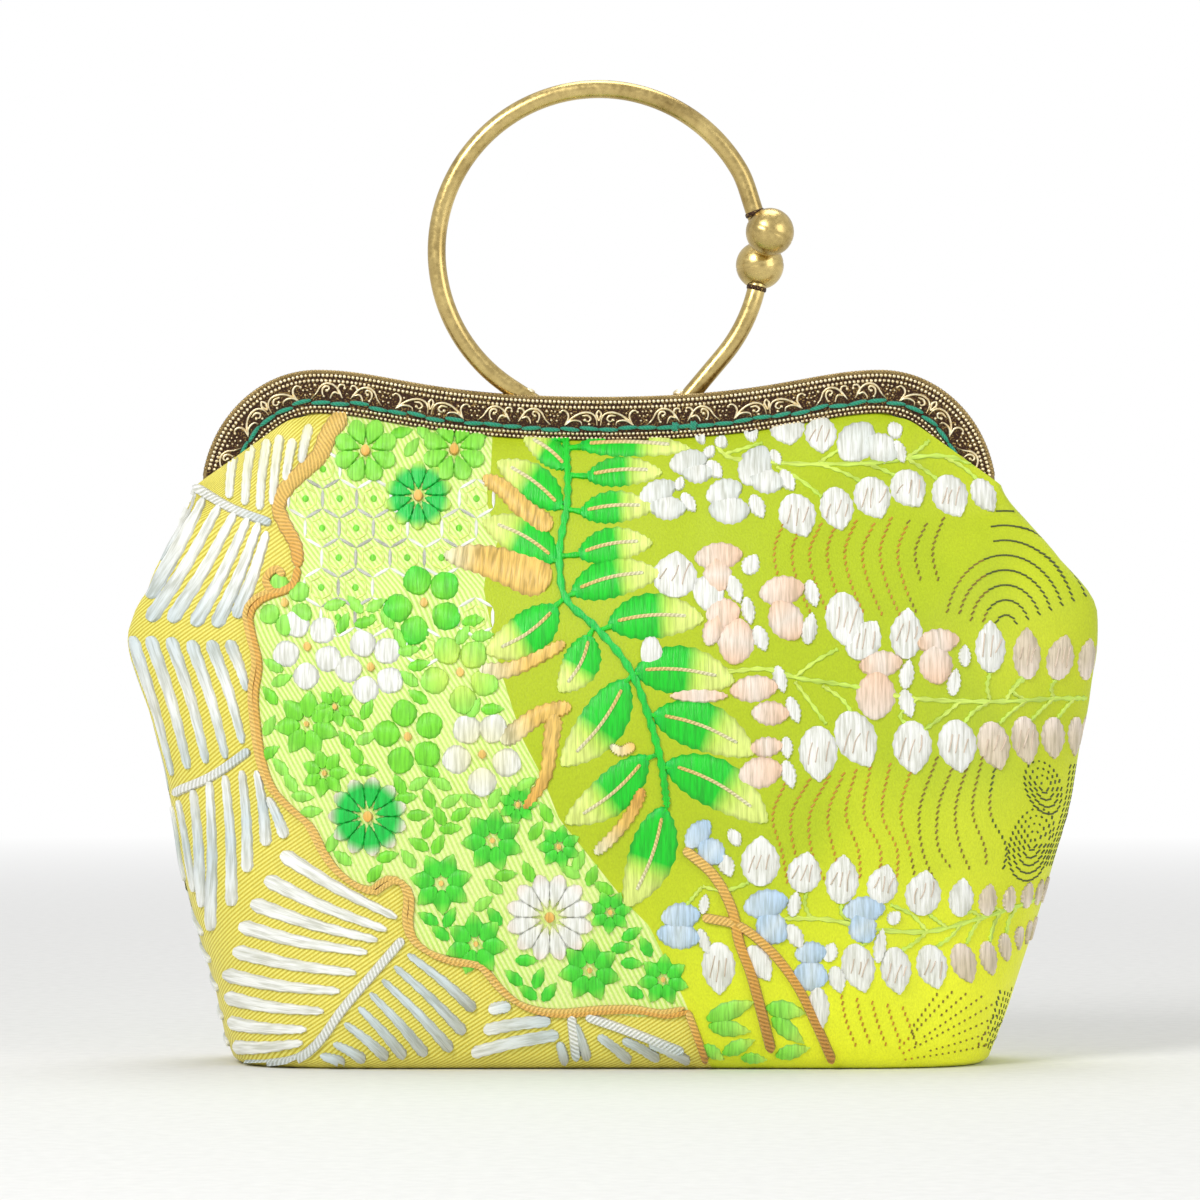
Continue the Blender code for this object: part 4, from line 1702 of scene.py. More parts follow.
class Cut(Enum):
    """Outlines of a stitched shape: how its widest place is shifted along it, and how full its ends are."""

    BAR = (0.0, 0.0, 0.0)
    CORD = (0.0, 1.0, 1.0)
    EGG = (1.0, 0.55, 0.55)
    FAN = (1.7, 0.5, 0.55)
    LEAF = (0.8, 0.75, 0.9)
    PETAL = (0.9, 0.5, 0.8)
    FROND = (0.86, 0.7, 0.62)

    def spread(self, share: float, blunt: float) -> float:
        """The share of the full width at a share of the length.

        Args:
            share: The share of the shape's length.
            blunt: The shape's width over its length.

        Returns:
            The share of the width, from 0 to 1.
        """
        if self is Cut.CORD:
            return 1.0
        if self is Cut.BAR:
            near = min(share, 1.0 - share) / max(0.02, min(0.5, blunt / 2))
            return math.sqrt(max(0.0, 1.0 - (1.0 - near) ** 2)) if near < 1.0 else 1.0
        shift, start, finish = self.value
        return max(0.0, math.sin(math.pi * share ** shift)) ** (start + (finish - start) * share)


@dataclass(frozen=True)
class Stitch:
    """How a shape of floss is laid. Its lengths are in squares of the point paper."""

    # The outline, how far its middle stands off the cloth, and the strands' angle, or None along the spine.
    cut: Cut = Cut.EGG
    lift: float = 2.6
    grain: float | None = 90.0
    # The rows of faces, how far the edge steps in and out, and the share of the dye's brightness that the edge
    # keeps, a painted shade along the outline.
    steps: int = 12
    jag: float = 0.0
    edge: float = 0.6
    # Shares of the width at the start and at the finish.
    start: float = 1.0
    finish: float = 1.0


# The five columns of a strip: their reach across and their height.
STRIP_REACH = (-1.0, -0.74, 0.0, 0.74, 1.0)
STRIP_LEVEL = (-0.12, 0.8, 1.0, 0.8, -0.12)


@dataclass
class Weaver:
    """Lays raised floss on the cloth of one side, group by group."""

    chart: Chart
    shape: BagShape
    tree: BVHTree
    seed: int = 7
    corner: float = 0.0042
    seam_slope: float = 0.0022
    seam_room: float = 0.0004
    lowest: float = 0.0009
    highest: float = 0.17
    samples: int = 64

    def __post_init__(self) -> None:
        """Start with no floss."""
        self.rng = random.Random(self.seed)
        self.skins: dict[str, Skin] = {}
        self.strips: dict[int, Shape] = {}

    def strip(self, steps: int) -> Shape:
        """Model the flat strip of five columns that a stitch is bent from, or take the one made before.

        Args:
            steps: The number of rows of faces.

        Returns:
            Its points, from -1 to 1 across and along, and its faces.
        """
        if steps not in self.strips:
            clear_selection()
            bpy.ops.mesh.primitive_grid_add(x_subdivisions=4, y_subdivisions=steps, size=2.0)
            self.strips[steps] = taken_apart(bpy.context.object)
        return self.strips[steps]

    def round_corner(self, hand: float, z: float, over: float) -> tuple[Vector, Vector] | None:
        """Rest a point of the paper that has turned the bag's side and runs on to the side seam.

        Args:
            hand: 1 for the right side of the bag, -1 for its left one.
            z: The point's height.
            over: How far it lies past the place where the paper turns.

        Returns:
            Its place and the normal there, which shrinks towards the seam, or None past the seam.
        """
        out = self.chart.side.value
        up = z * 1000.0
        turn = self.shape.shift(up) * MILLI + hand * (self.shape.half(up) * MILLI - self.corner)
        edge = self.tree.ray_cast(Vector((turn, out * 0.2, z)), Vector((0.0, -out, 0.0)))[0]
        left = abs(edge.y) - over if edge else 0.0
        if left < self.seam_room:
            return None
        hit, normal, _, _ = self.tree.ray_cast(Vector((hand * 0.3, out * left, z)), Vector((-hand, 0.0, 0.0)))
        if hit is None:
            return None
        sink = min(1.0, (left - 0.0003) / self.seam_slope)
        return hit, (normal if normal.x * hand > 0.0 else -normal) * sink

    def rest(self, x: float, z: float) -> tuple[Vector, Vector] | None:
        """Rest a point of the paper on the cloth.

        Args:
            x: The point's X.
            z: Its Z.

        Returns:
            Its place and the cloth's outward normal there, or None where there is no cloth.
        """
        if not self.lowest < z < self.highest:
            return None
        out = self.chart.side.value
        if z < SHOULDER_Z:
            aside = x - self.shape.shift(z * 1000.0) / 1000.0
            over = abs(aside) - self.shape.half(z * 1000.0) / 1000.0 + self.corner
            if over > 0.0:
                return self.round_corner(math.copysign(1.0, aside), z, over)
        hit, normal, _, _ = self.tree.ray_cast(Vector((x, out * 0.2, z)), Vector((0.0, -out, 0.0)))
        if hit is None:
            return None
        return hit, normal if normal.y * out > 0.0 else -normal

    def stroke(self, group: str, spine: Sequence[Paper], width: float, dyes: Sequence[Dye],
               stitch: Stitch) -> None:
        """Lay one shape of floss.

        Args:
            group: The piece that the shape belongs to.
            spine: Knots of the shape's middle line.
            width: The shape's full width.
            dyes: Dyes in turn along the shape.
            stitch: How the shape is laid.
        """
        points, faces = self.strip(stitch.steps)
        shares = (points[:, 1] + 1.0) / 2.0
        if stitch.cut is not Cut.CORD:
            shares = (1.0 - np.cos(math.pi * shares)) / 2.0
        tones = np.array([dye.colour[:3] for dye in dyes])
        tints = np.stack([np.interp(shares * (len(dyes) - 1), range(len(dyes)), tone) for tone in tones.T],
                         axis=1)
        last = self.samples - 1
        fine = smooth_line(spine, np.linspace(0.0, 1.0, self.samples + 1))
        length = float(np.linalg.norm(np.diff(fine, axis=0), axis=1).sum())
        offset = self.rng.random()
        skin = self.skins.setdefault(group, Skin())
        start = len(skin.points)
        kept: dict[int, int] = {}
        bent = []
        for index, share in enumerate(shares):
            row, column = divmod(index, len(STRIP_REACH))
            at = share * self.samples
            low = min(last, int(at))
            centre = fine[low] + (fine[low + 1] - fine[low]) * (at - low)
            slope = fine[min(last + 1, low + 2)] - fine[max(0, low - 1)]
            slope = slope / (np.linalg.norm(slope) + 1e-9)
            spread = stitch.cut.spread(float(share), width / max(length, 1e-6))
            half = width / 2 * spread * (stitch.start + (stitch.finish - stitch.start) * share)
            if stitch.jag and 0 < row < stitch.steps:
                half += stitch.jag * (1.0 if row % 2 else -1.0)
            wide = half * STRIP_REACH[column]
            x, z = self.chart.place((centre[0] - slope[1] * wide, centre[1] + slope[0] * wide))
            found = self.rest(x, z)
            if found is None:
                continue
            level = STRIP_LEVEL[column] * (0.45 + 0.55 * min(1.0, 4.0 * spread))
            place = found[0] + found[1] * (level * stitch.lift * PAPER_SQUARE)
            if stitch.grain is None:
                thread = (points[index, 0] * half * PAPER_SQUARE, offset + share * length * PAPER_SQUARE)
            else:
                turn = math.radians(stitch.grain)
                thread = (offset + x * math.sin(turn) - z * math.cos(turn),
                          offset + x * math.cos(turn) + z * math.sin(turn))
            # Painted shade: the outer columns of each shape are dyed darker, as shade along its outline.
            painted_outline_shade = 1.0 if 0 < column < len(STRIP_REACH) - 1 else stitch.edge
            kept[index] = start + len(bent)
            bent.append((tuple(place), thread, (*(tints[index] * painted_outline_shade), 1.0)))
        made = [tuple(kept[corner] for corner in face) for face in faces
                if all(corner in kept for corner in face)]
        if made:
            for whole, new in zip((skin.points, skin.threads, skin.dyes), zip(*bent)):
                whole.extend(new)
            skin.faces.extend(made)

    def blob(self, group: str, centre: Paper, size: Paper, dyes: Sequence[Dye], stitch: Stitch,
             lean: float = 0.0) -> None:
        """Lay a shape of floss round a centre.

        Args:
            group: The piece that the shape belongs to.
            centre: Its centre.
            size: Its width and its length.
            dyes: Dyes in turn along the shape.
            stitch: How the shape is laid.
            lean: How far its length leans to the right, in degrees.
        """
        turn = math.radians(lean)
        x, y = math.sin(turn) * size[1] / 2, math.cos(turn) * size[1] / 2
        ends = ((centre[0] - x, centre[1] + y), (centre[0] + x, centre[1] - y))
        self.stroke(group, ends, size[0], dyes, stitch)

    def spoke(self, group: str, heart: Paper, way: Paper, reach: Paper, width: float, dyes: Sequence[Dye],
              stitch: Stitch) -> None:
        """Lay a shape of floss on a spoke, from one distance to another from its heart."""
        ends = [(heart[0] + way[0] * far, heart[1] + way[1] * far) for far in reach]
        self.stroke(group, ends, width, dyes, stitch)

    def finish(self, finishes: dict[str, Material]) -> None:
        """Make one piece of each group.

        Args:
            finishes: Finishes by the start of the group's name; the last one takes all that are left.
        """
        side = self.chart.side
        for group, skin in self.skins.items():
            material = next(finish for key, finish in finishes.items() if group.startswith(key))
            piece = skin.make(f"{side.word}_{group}", material)
            turn_outward(piece, side)
            soften(piece, math.radians(50.0))
            hang(piece)
            report(piece)


def turn_outward(piece: Piece, side: Side) -> None:
    """Turn all faces of a piece if most of them look into the bag.

    Args:
        piece: The piece.
        side: The side that it lies on.
    """
    outward = sum(polygon.normal.y * polygon.area for polygon in piece.data.polygons) * side.value
    if outward <= 0.0:
        with editing(piece):
            bpy.ops.mesh.flip_normals()


@dataclass(frozen=True)
class PineFans:
    """Fans of pine needles in white and silver bars, on ropes of white floss."""

    # Each fan: thin width, thick width, dyes, then its bars from the thin end to the thick end.
    fans: tuple[tuple[float, float, tuple[Dye, ...], tuple[Row, ...]], ...] = (
        (9.0, 11.0, (Dye.WHITE, Dye.CREAM), (
            (231, 499, 236, 452), (247, 506, 253, 446), (262, 511, 269, 440), (275, 506, 282, 436),
            (288, 482, 295, 440), (303, 464, 311, 426))),
        (9.0, 16.5, (Dye.WHITE, Dye.WHITE, Dye.SILVER), (
            (206, 497, 150, 598), (222, 505, 151, 621), (238, 512, 173, 622), (251, 518, 197, 626),
            (262, 523, 219, 627), (270, 532, 240, 618), (196, 490, 160, 560))),
        (14.5, 8.0, (Dye.SILVER, Dye.WHITE, Dye.SILVER), (
            (133, 636, 172, 775), (152, 636, 192, 768), (173, 637, 211, 762), (194, 640, 231, 757),
            (214, 640, 248, 742), (233, 640, 252, 690), (120, 655, 154, 790))),
        (8.0, 13.5, (Dye.WHITE, Dye.SILVER, Dye.WHITE), (
            (178, 799, 193, 890), (197, 788, 204, 905), (214, 779, 214, 928), (230, 773, 237, 902),
            (247, 768, 253, 868), (262, 768, 272, 842), (274, 794, 291, 834), (160, 806, 168, 880),
            (146, 812, 154, 870))),
        (8.0, 16.5, (Dye.WHITE, Dye.WHITE, Dye.WHITE), (
            (402, 911, 287, 849), (392, 923, 271, 874), (383, 933, 257, 898), (373, 945, 245, 921),
            (362, 965, 239, 946), (346, 983, 228, 970), (330, 1003, 228, 993), (313, 1021, 229, 1018),
            (309, 1034, 233, 1043))),
        (8.0, 14.0, (Dye.WHITE, Dye.SILVER), (
            (214, 1040, 160, 1034), (212, 1014, 156, 1004), (210, 986, 156, 972), (206, 958, 154, 940),
            (198, 932, 154, 908))),
        (7.0, 13.0, (Dye.SILVER, Dye.SILVER, Dye.GREY), (
            (412, 946, 478, 1001), (399, 958, 468, 1024), (387, 971, 455, 1041), (375, 984, 430, 1046),
            (364, 998, 409, 1048), (350, 1014, 392, 1049), (339, 1034, 370, 1051), (326, 1046, 350, 1054))),
        (13.0, 13.0, (Dye.WHITE, Dye.SILVER), (
            (491, 1001, 513, 997), (486, 1021, 552, 1011), (474, 1044, 560, 1025))),
        (9.0, 11.0, (Dye.SILVER, Dye.GREY), (
            (575, 1014, 588, 1050), (598, 1026, 630, 1052), (622, 1030, 658, 1050), (560, 1032, 566, 1054),
            (648, 1034, 688, 1052))),
    )
    ropes: tuple[tuple[Paper, ...], ...] = (
        ((197, 487), (232, 508), (274, 524)), ((172, 793), (215, 775), (255, 748)),
        ((408, 931), (352, 996), (309, 1047), (246, 1060)), ((586, 1007), (634, 1024), (682, 1043)),
        ((572, 1006), (577, 1050)),
    )
    needle: Stitch = Stitch(Cut.BAR, 3.4, None, 18, 0.4, 0.66)
    rope: Stitch = Stitch(Cut.BAR, 4.0, None, 26, 0.0, 0.66)

    def weave(self, weaver: Weaver) -> None:
        """Lay the needles and their ropes.

        Args:
            weaver: The weaver of one side.
        """
        for thin, thick, dyes, bars in self.fans:
            widest = max(thin, thick)
            stitch = replace(self.needle, start=thin / widest, finish=thick / widest)
            for x, y, end_x, end_y in bars:
                bow = ((x + end_x) / 2 + (end_y - y) * 0.02, (y + end_y) / 2 - (end_x - x) * 0.02)
                weaver.stroke("pine_needles", ((x, y), bow, (end_x, end_y)), widest, dyes, stitch)
        for rope in self.ropes:
            weaver.stroke("cord_pine_ropes", rope, 10.0, (Dye.WHITE, Dye.WHITE, Dye.SILVER), self.rope)


@dataclass(frozen=True)
class GoldBorder:
    """The gold border between the pine needles and the flowers, and two twisted gold strands."""

    band: tuple[Paper, ...] = ((345, 414), (330, 436), (322, 456), (305, 472), (288, 490), (281, 508),
                               (287, 524), (299, 546), (302, 568))
    curl: tuple[Paper, ...] = ((302, 568), (296, 586), (277, 592), (270, 579), (280, 570), (288, 577))
    cord: tuple[Paper, ...] = (
        (286, 592), (268, 596), (253, 610), (256, 636), (262, 660), (258, 693), (261, 726), (265, 752),
        (277, 785), (296, 805), (316, 822), (326, 842), (342, 865), (362, 880), (381, 885), (391, 874),
        (405, 874), (414, 888), (412, 908), (416, 931), (430, 943), (455, 953), (484, 958), (500, 977),
        (518, 993), (541, 1002), (560, 1004), (600, 1001), (640, 1001), (664, 1005), (686, 1000))
    strands: tuple[tuple[Paper, ...], ...] = (
        ((682, 843), (711, 869), (730, 905), (736, 934), (746, 960), (757, 999), (768, 1042)),
        ((700, 910), (735, 918), (767, 943), (791, 974), (812, 1016), (828, 1052)),
        ((686, 1002), (694, 1024), (704, 1052)),
    )

    def weave(self, weaver: Weaver) -> None:
        """Lay the border.

        Args:
            weaver: The weaver of one side.
        """
        group, cord = "cord_gold_border", Stitch(Cut.BAR, 3.6, None, 120, 0.0, 0.5)
        weaver.stroke(group, self.band, 21.0, (Dye.GOLD, Dye.GOLD, Dye.AMBER),
                      replace(cord, steps=40, jag=0.5, finish=0.62))
        weaver.stroke(group, self.curl, 9.0, (Dye.AMBER, Dye.GOLD), replace(cord, lift=4.0, steps=30))
        for shift, dye in ((-2.6, Dye.GOLD), (2.6, Dye.AMBER)):
            side = [(x + shift, y + shift * 0.6) for x, y in self.cord]
            weaver.stroke(group, side, 6.4, (dye, Dye.GOLD, dye), cord)
        for strand, width in zip(self.strands, (11.0, 10.0, 8.0)):
            weaver.stroke(group, strand, width, (Dye.GOLD, Dye.AMBER, Dye.BRONZE),
                          replace(cord, lift=5.0, steps=46))


@dataclass(frozen=True)
class FlowerField:
    """Chrysanthemums and plum blossoms over a lattice of hexagons and a ground of small leaves."""

    # Plum blossoms: dyes from heart to tip, heart, petal size, then the petals' centres.
    plums: tuple[tuple[tuple[Dye, ...], Paper, float, tuple[Paper, ...]], ...] = (
        ((Dye.APPLE, Dye.LEAF), (427, 603), 29,
         ((420, 581), (447, 586), (401, 608), (449, 616), (418, 630))),
        ((Dye.LIME, Dye.SPRING), (463, 671), 28,
         ((450, 650), (476, 654), (438, 679), (466, 698), (487, 681))),
        ((Dye.APPLE, Dye.APPLE), (412, 734), 27,
         ((408, 711), (433, 723), (391, 731), (405, 757), (431, 751))),
        ((Dye.WHITE, Dye.WHITE), (312, 646), 27,
         ((301, 624), (327, 630), (291, 653), (333, 658), (311, 675))),
        ((Dye.WHITE, Dye.WHITE), (375, 666), 27,
         ((367, 643), (391, 650), (353, 668), (394, 679), (370, 688))),
        ((Dye.CREAM, Dye.WHITE), (485, 751), 29,
         ((470, 727), (496, 726), (460, 756), (509, 759), (485, 778))),
        ((Dye.SPRING, Dye.SPRING), (289, 603), 21,
         ((274, 614), (283, 585), (303, 592), (306, 613), (290, 625))),
    )
    # Chrysanthemums: dyes, heart, radius, petals.
    daisies: tuple[tuple[tuple[Dye, ...], Paper, float, int], ...] = (
        ((Dye.EMERALD, Dye.EMERALD, Dye.EMERALD, Dye.LIME), (420, 497), 34, 10),
        ((Dye.EMERALD, Dye.EMERALD, Dye.EMERALD, Dye.BLUSH), (373, 812), 39, 11),
        ((Dye.CREAM, Dye.WHITE, Dye.WHITE, Dye.BLUSH), (551, 910), 43, 12),
        ((Dye.APPLE, Dye.SPRING), (367, 452), 32, 8),
        ((Dye.APPLE, Dye.SPRING), (455, 451), 32, 8),
    )
    small: tuple[Row, ...] = (
        (312, 722, 36), (297, 792, 26), (495, 835, 34), (445, 877, 34), (479, 936, 34), (590, 962, 34),
        (662, 971, 28), (560, 841, 24), (330, 770, 26), (520, 800, 22), (610, 905, 24), (340, 705, 22))
    hexagon: float = 19.6
    rows: int = 40
    columns: int = 24
    # Leans of the small leaves of the ground.
    leans: Row = (-58.0, -32.0, 32.0, 58.0, 84.0)
    thread: Stitch = Stitch(Cut.BAR, 1.1, None, 3, 0.0, 0.8)
    pointed: Stitch = Stitch(Cut.LEAF, 2.4, 90.0, 10, 0.45, 0.6)
    leaflet: Stitch = Stitch(Cut.LEAF, 1.9, 90.0, 10, 0.45, 0.62)
    round_petal: Stitch = Stitch(Cut.EGG, 3.4, 90.0, 14, 0.4, 0.6)
    long_petal: Stitch = Stitch(Cut.FAN, 3.6, 90.0, 14, 0.45, 0.6)
    heart: Stitch = Stitch(lift=4.0, steps=8)

    def lattice(self, weaver: Weaver, clear: Callable[[Paper, float], bool]) -> None:
        """Lay the hexagons: each has an outline, a finer one inside and a knot.

        Args:
            weaver: The weaver of one side.
            clear: Whether a spot has a given room round it.
        """
        wide, tall = self.hexagon * math.sqrt(3.0), self.hexagon * 1.5
        for row in range(7):
            for column in range(7):
                heart = (291 + wide * (column + 0.5 * (row % 2)), 470 + tall * row)
                if not clear(heart, 4.0) or heart[1] > 650.0:
                    continue
                for size, width, dye in ((self.hexagon, 3.4, Dye.WHITE), (self.hexagon * 0.6, 2.2, Dye.PALE)):
                    corners = [(heart[0] + size * math.sin(math.radians(60.0 * turn)),
                                heart[1] + size * math.cos(math.radians(60.0 * turn))) for turn in range(7)]
                    for ends in zip(corners, corners[1:]):
                        weaver.stroke("lattice", ends, width, (dye,), self.thread)
                weaver.blob("lattice", heart, (7.0, 7.0), (Dye.APPLE,), Stitch(lift=1.1, steps=6))

    def small_flower(self, weaver: Weaver, heart: Paper, radius: float, dye: Dye, petals: int) -> None:
        """Lay a small flower of pointed petals.

        Args:
            weaver: The weaver of one side.
            heart: The flower's middle.
            radius: Its radius.
            dye: The dye of its petals, which end paler.
            petals: How many it has.
        """
        turn = weaver.rng.uniform(0.0, 60.0)
        for petal in range(petals):
            angle = math.radians(turn + 360.0 * petal / petals)
            weaver.spoke("blossoms", heart, (math.cos(angle), math.sin(angle)), (radius * 0.2, radius),
                         radius * 0.6, (dye, dye, Dye.SPRING), self.pointed)
        weaver.blob("hearts", heart, (6.0, 6.0), (Dye.GOLD,), Stitch(lift=3.4, steps=6))

    def weave(self, weaver: Weaver) -> None:
        """Lay the field's ground first and its large flowers over it.

        Args:
            weaver: The weaver of one side.
        """
        pine, field = np.array(PINE_FIELD, float), np.array(FLOWER_FIELD, float)
        taken = [(heart[0], heart[1], radius) for _, heart, radius, _ in self.daisies]
        taken += [(heart[0], heart[1], 34.0) for _, heart, _, _ in self.plums]
        taken += [(485, 575, 30), (520, 590, 30), (505, 735, 22)]

        def clear(spot: Paper, room: float) -> bool:
            """Look whether a spot lies in the field, clear of its border and of the large flowers.

            Args:
                spot: The spot.
                room: The room that it needs between the flowers.

            Returns:
                Whether it does.
            """
            place = np.array([spot])
            if inside_by(place, pine)[0] > -11.0 or inside_by(place, field)[0] < 7.0:
                return False
            return all(math.dist(spot, (x, y)) > radius + room for x, y, radius in taken)

        self.lattice(weaver, clear)
        for x, y, radius in self.small:
            if clear((x, y), 0.0):
                self.small_flower(weaver, (x, y), radius * 0.92, Dye.APPLE if y < 800 else Dye.LEAF, 7)
                taken.append((x, y, radius * 0.86))
        rng = weaver.rng
        for row in range(self.rows):
            for column in range(self.columns):
                spot = (255 + column * 21.0 + 10.5 * (row % 2) + rng.uniform(-2, 2),
                        432 + row * 14.5 + rng.uniform(-2, 2))
                if (462 < spot[1] < 600 and spot[0] < 492) or not clear(spot, 3.0):
                    continue
                lean = self.leans[(row * 3 + column * 2) % len(self.leans)] + rng.uniform(-10, 10)
                deep = Dye.LEAF if spot[1] > 905 else (Dye.APPLE if rng.random() < 0.5 else Dye.SPRING)
                weaver.blob("blossoms", spot, (12.5, 23.0), (deep, deep, Dye.SPRING), self.leaflet, lean)
        for dyes, heart, size, petals in self.plums:
            for x, y in petals:
                reach = math.dist((x, y), heart)
                way = ((x - heart[0]) / reach, (y - heart[1]) / reach)
                weaver.spoke("blossoms", (x, y), way, (-size * 0.5, size * 0.5), size * 1.02, dyes,
                             self.round_petal)
            weaver.blob("hearts", heart, (9.0, 9.0), (Dye.GOLD,), self.heart)
        for dyes, heart, radius, petals in self.daisies:
            for petal in range(petals):
                angle = 2.0 * math.pi * (petal + 0.5) / petals
                weaver.spoke("blossoms", heart, (math.cos(angle), math.sin(angle)), (radius * 0.2, radius),
                             radius * 4.9 / petals, dyes, self.long_petal)
            weaver.blob("hearts", heart, (11.0, 11.0), (Dye.AMBER, Dye.GOLD), replace(self.heart, lift=4.6))


@dataclass(frozen=True)
class BrushStrokes:
    """Broad brush strokes of orange and gold satin."""

    # Each stroke: width, its share at either end, dyes and knots.
    strokes: tuple[tuple[float, float, float, tuple[Dye, ...], tuple[Paper, ...]], ...] = (
        (50.0, 0.4, 1.0, (Dye.CREAM, Dye.GOLD, Dye.GOLD, Dye.GOLD),
         ((446, 556), (478, 559), (514, 569), (552, 582))),
        (26.0, 0.6, 1.0, (Dye.GOLD, Dye.GOLD, Dye.GOLD), ((484, 478), (505, 490), (527, 512), (552, 530))),
        (20.0, 0.9, 0.6, (Dye.CREAM, Dye.GOLD, Dye.GOLD), ((482, 670), (512, 668), (540, 656), (566, 642))),
        (23.0, 0.9, 0.7, (Dye.CREAM, Dye.GOLD, Dye.GOLD), ((503, 739), (520, 727), (540, 713), (572, 704))),
        (19.0, 1.0, 0.5, (Dye.GOLD, Dye.GOLD, Dye.AMBER), ((556, 712), (552, 740), (547, 772), (526, 804))),
        (19.0, 0.7, 0.6, (Dye.AMBER, Dye.GOLD, Dye.CREAM), ((642, 784), (631, 808), (616, 828), (595, 848))),
        (14.0, 0.6, 0.9, (Dye.CREAM, Dye.GOLD), ((610, 742), (620, 748), (634, 742))),
    )

    def weave(self, weaver: Weaver) -> None:
        """Lay the strokes.

        Args:
            weaver: The weaver of one side.
        """
        for width, start, finish, dyes, spine in self.strokes:
            weaver.stroke("brush_strokes", spine, width, dyes,
                          Stitch(Cut.BAR, 3.2, 84.0, 30, 1.0, 0.6, start, finish))


@dataclass(frozen=True)
class LeafBranch:
    """The hanging branch of long leaves, deep green at the stem and pale at the tips, with gold veins."""

    stem: tuple[Paper, ...] = ((566, 436), (568, 500), (560, 560), (567, 600), (593, 624), (630, 669),
                               (648, 715), (660, 760), (666, 804))
    # Each leaf: base, tip, width, bow to its left.
    leaves: tuple[Row, ...] = (
        (578, 447, 690, 450, 24, 4), (586, 478, 662, 474, 28, 4), (580, 514, 654, 509, 30, 4),
        (578, 556, 652, 544, 32, 5), (572, 593, 660, 574, 36, 6), (608, 624, 702, 619, 42, 6),
        (634, 670, 732, 680, 44, 6), (652, 712, 751, 751, 44, 7), (664, 760, 764, 817, 44, 8),
        (567, 470, 524, 438, 26, -4), (562, 510, 498, 463, 34, -5), (557, 562, 484, 522, 38, -6),
        (558, 606, 488, 652, 40, 7), (590, 634, 560, 690, 34, 6), (626, 678, 562, 762, 42, 7),
        (646, 752, 566, 818, 38, 7), (662, 802, 626, 900, 42, 6), (572, 432, 640, 428, 20, 2),
        (560, 440, 512, 424, 22, -2))
    leaf_dyes: tuple[Dye, ...] = (Dye.EMERALD,) + (Dye.GREEN,) * 4 + (Dye.LIME,) + (Dye.PALE,) * 3
    leaf: Stitch = Stitch(Cut.FROND, 3.0, 90.0, 24, 0.9, 0.66)

    def weave(self, weaver: Weaver) -> None:
        """Lay the leaves with their stalks and veins, and the stem.

        Args:
            weaver: The weaver of one side.
        """
        knots = smooth_line(self.stem, np.linspace(0.0, 1.0, 60))
        for x, y, tip_x, tip_y, width, bow in self.leaves:
            length = math.hypot(tip_x - x, tip_y - y)
            side = ((tip_y - y) / length, -(tip_x - x) / length)
            middle = ((x + tip_x) / 2 + side[0] * bow, (y + tip_y) / 2 + side[1] * bow)
            weaver.stroke("leaf_branch", ((x, y), middle, (tip_x, tip_y)), width * 1.12, self.leaf_dyes,
                          self.leaf)
            at = knots[np.argmin(np.linalg.norm(knots - np.array((x, y)), axis=1))]
            weaver.stroke("leaf_branch", (tuple(at), (x + (tip_x - x) * 0.08, y + (tip_y - y) * 0.08)), 5.5,
                          (Dye.GREEN,), Stitch(Cut.BAR, 3.0, 90.0, 5, 0.5, 0.7))
            shorter = [(x + (tip_x - x) * share + side[0] * bow * 4 * share * (1 - share),
                        y + (tip_y - y) * share + side[1] * bow * 4 * share * (1 - share))
                       for share in (0.1, 0.3, 0.5, 0.82)]
            weaver.stroke("cord_leaf_veins", shorter, 4.2, (Dye.GOLD, Dye.CREAM),
                          Stitch(Cut.BAR, 4.8, None, 14, 0.0, 0.6))
        weaver.stroke("leaf_branch", self.stem, 7.5, (Dye.GREEN, Dye.EMERALD, Dye.GREEN),
                      Stitch(Cut.BAR, 3.6, 90.0, 70, 0.9, 0.7))


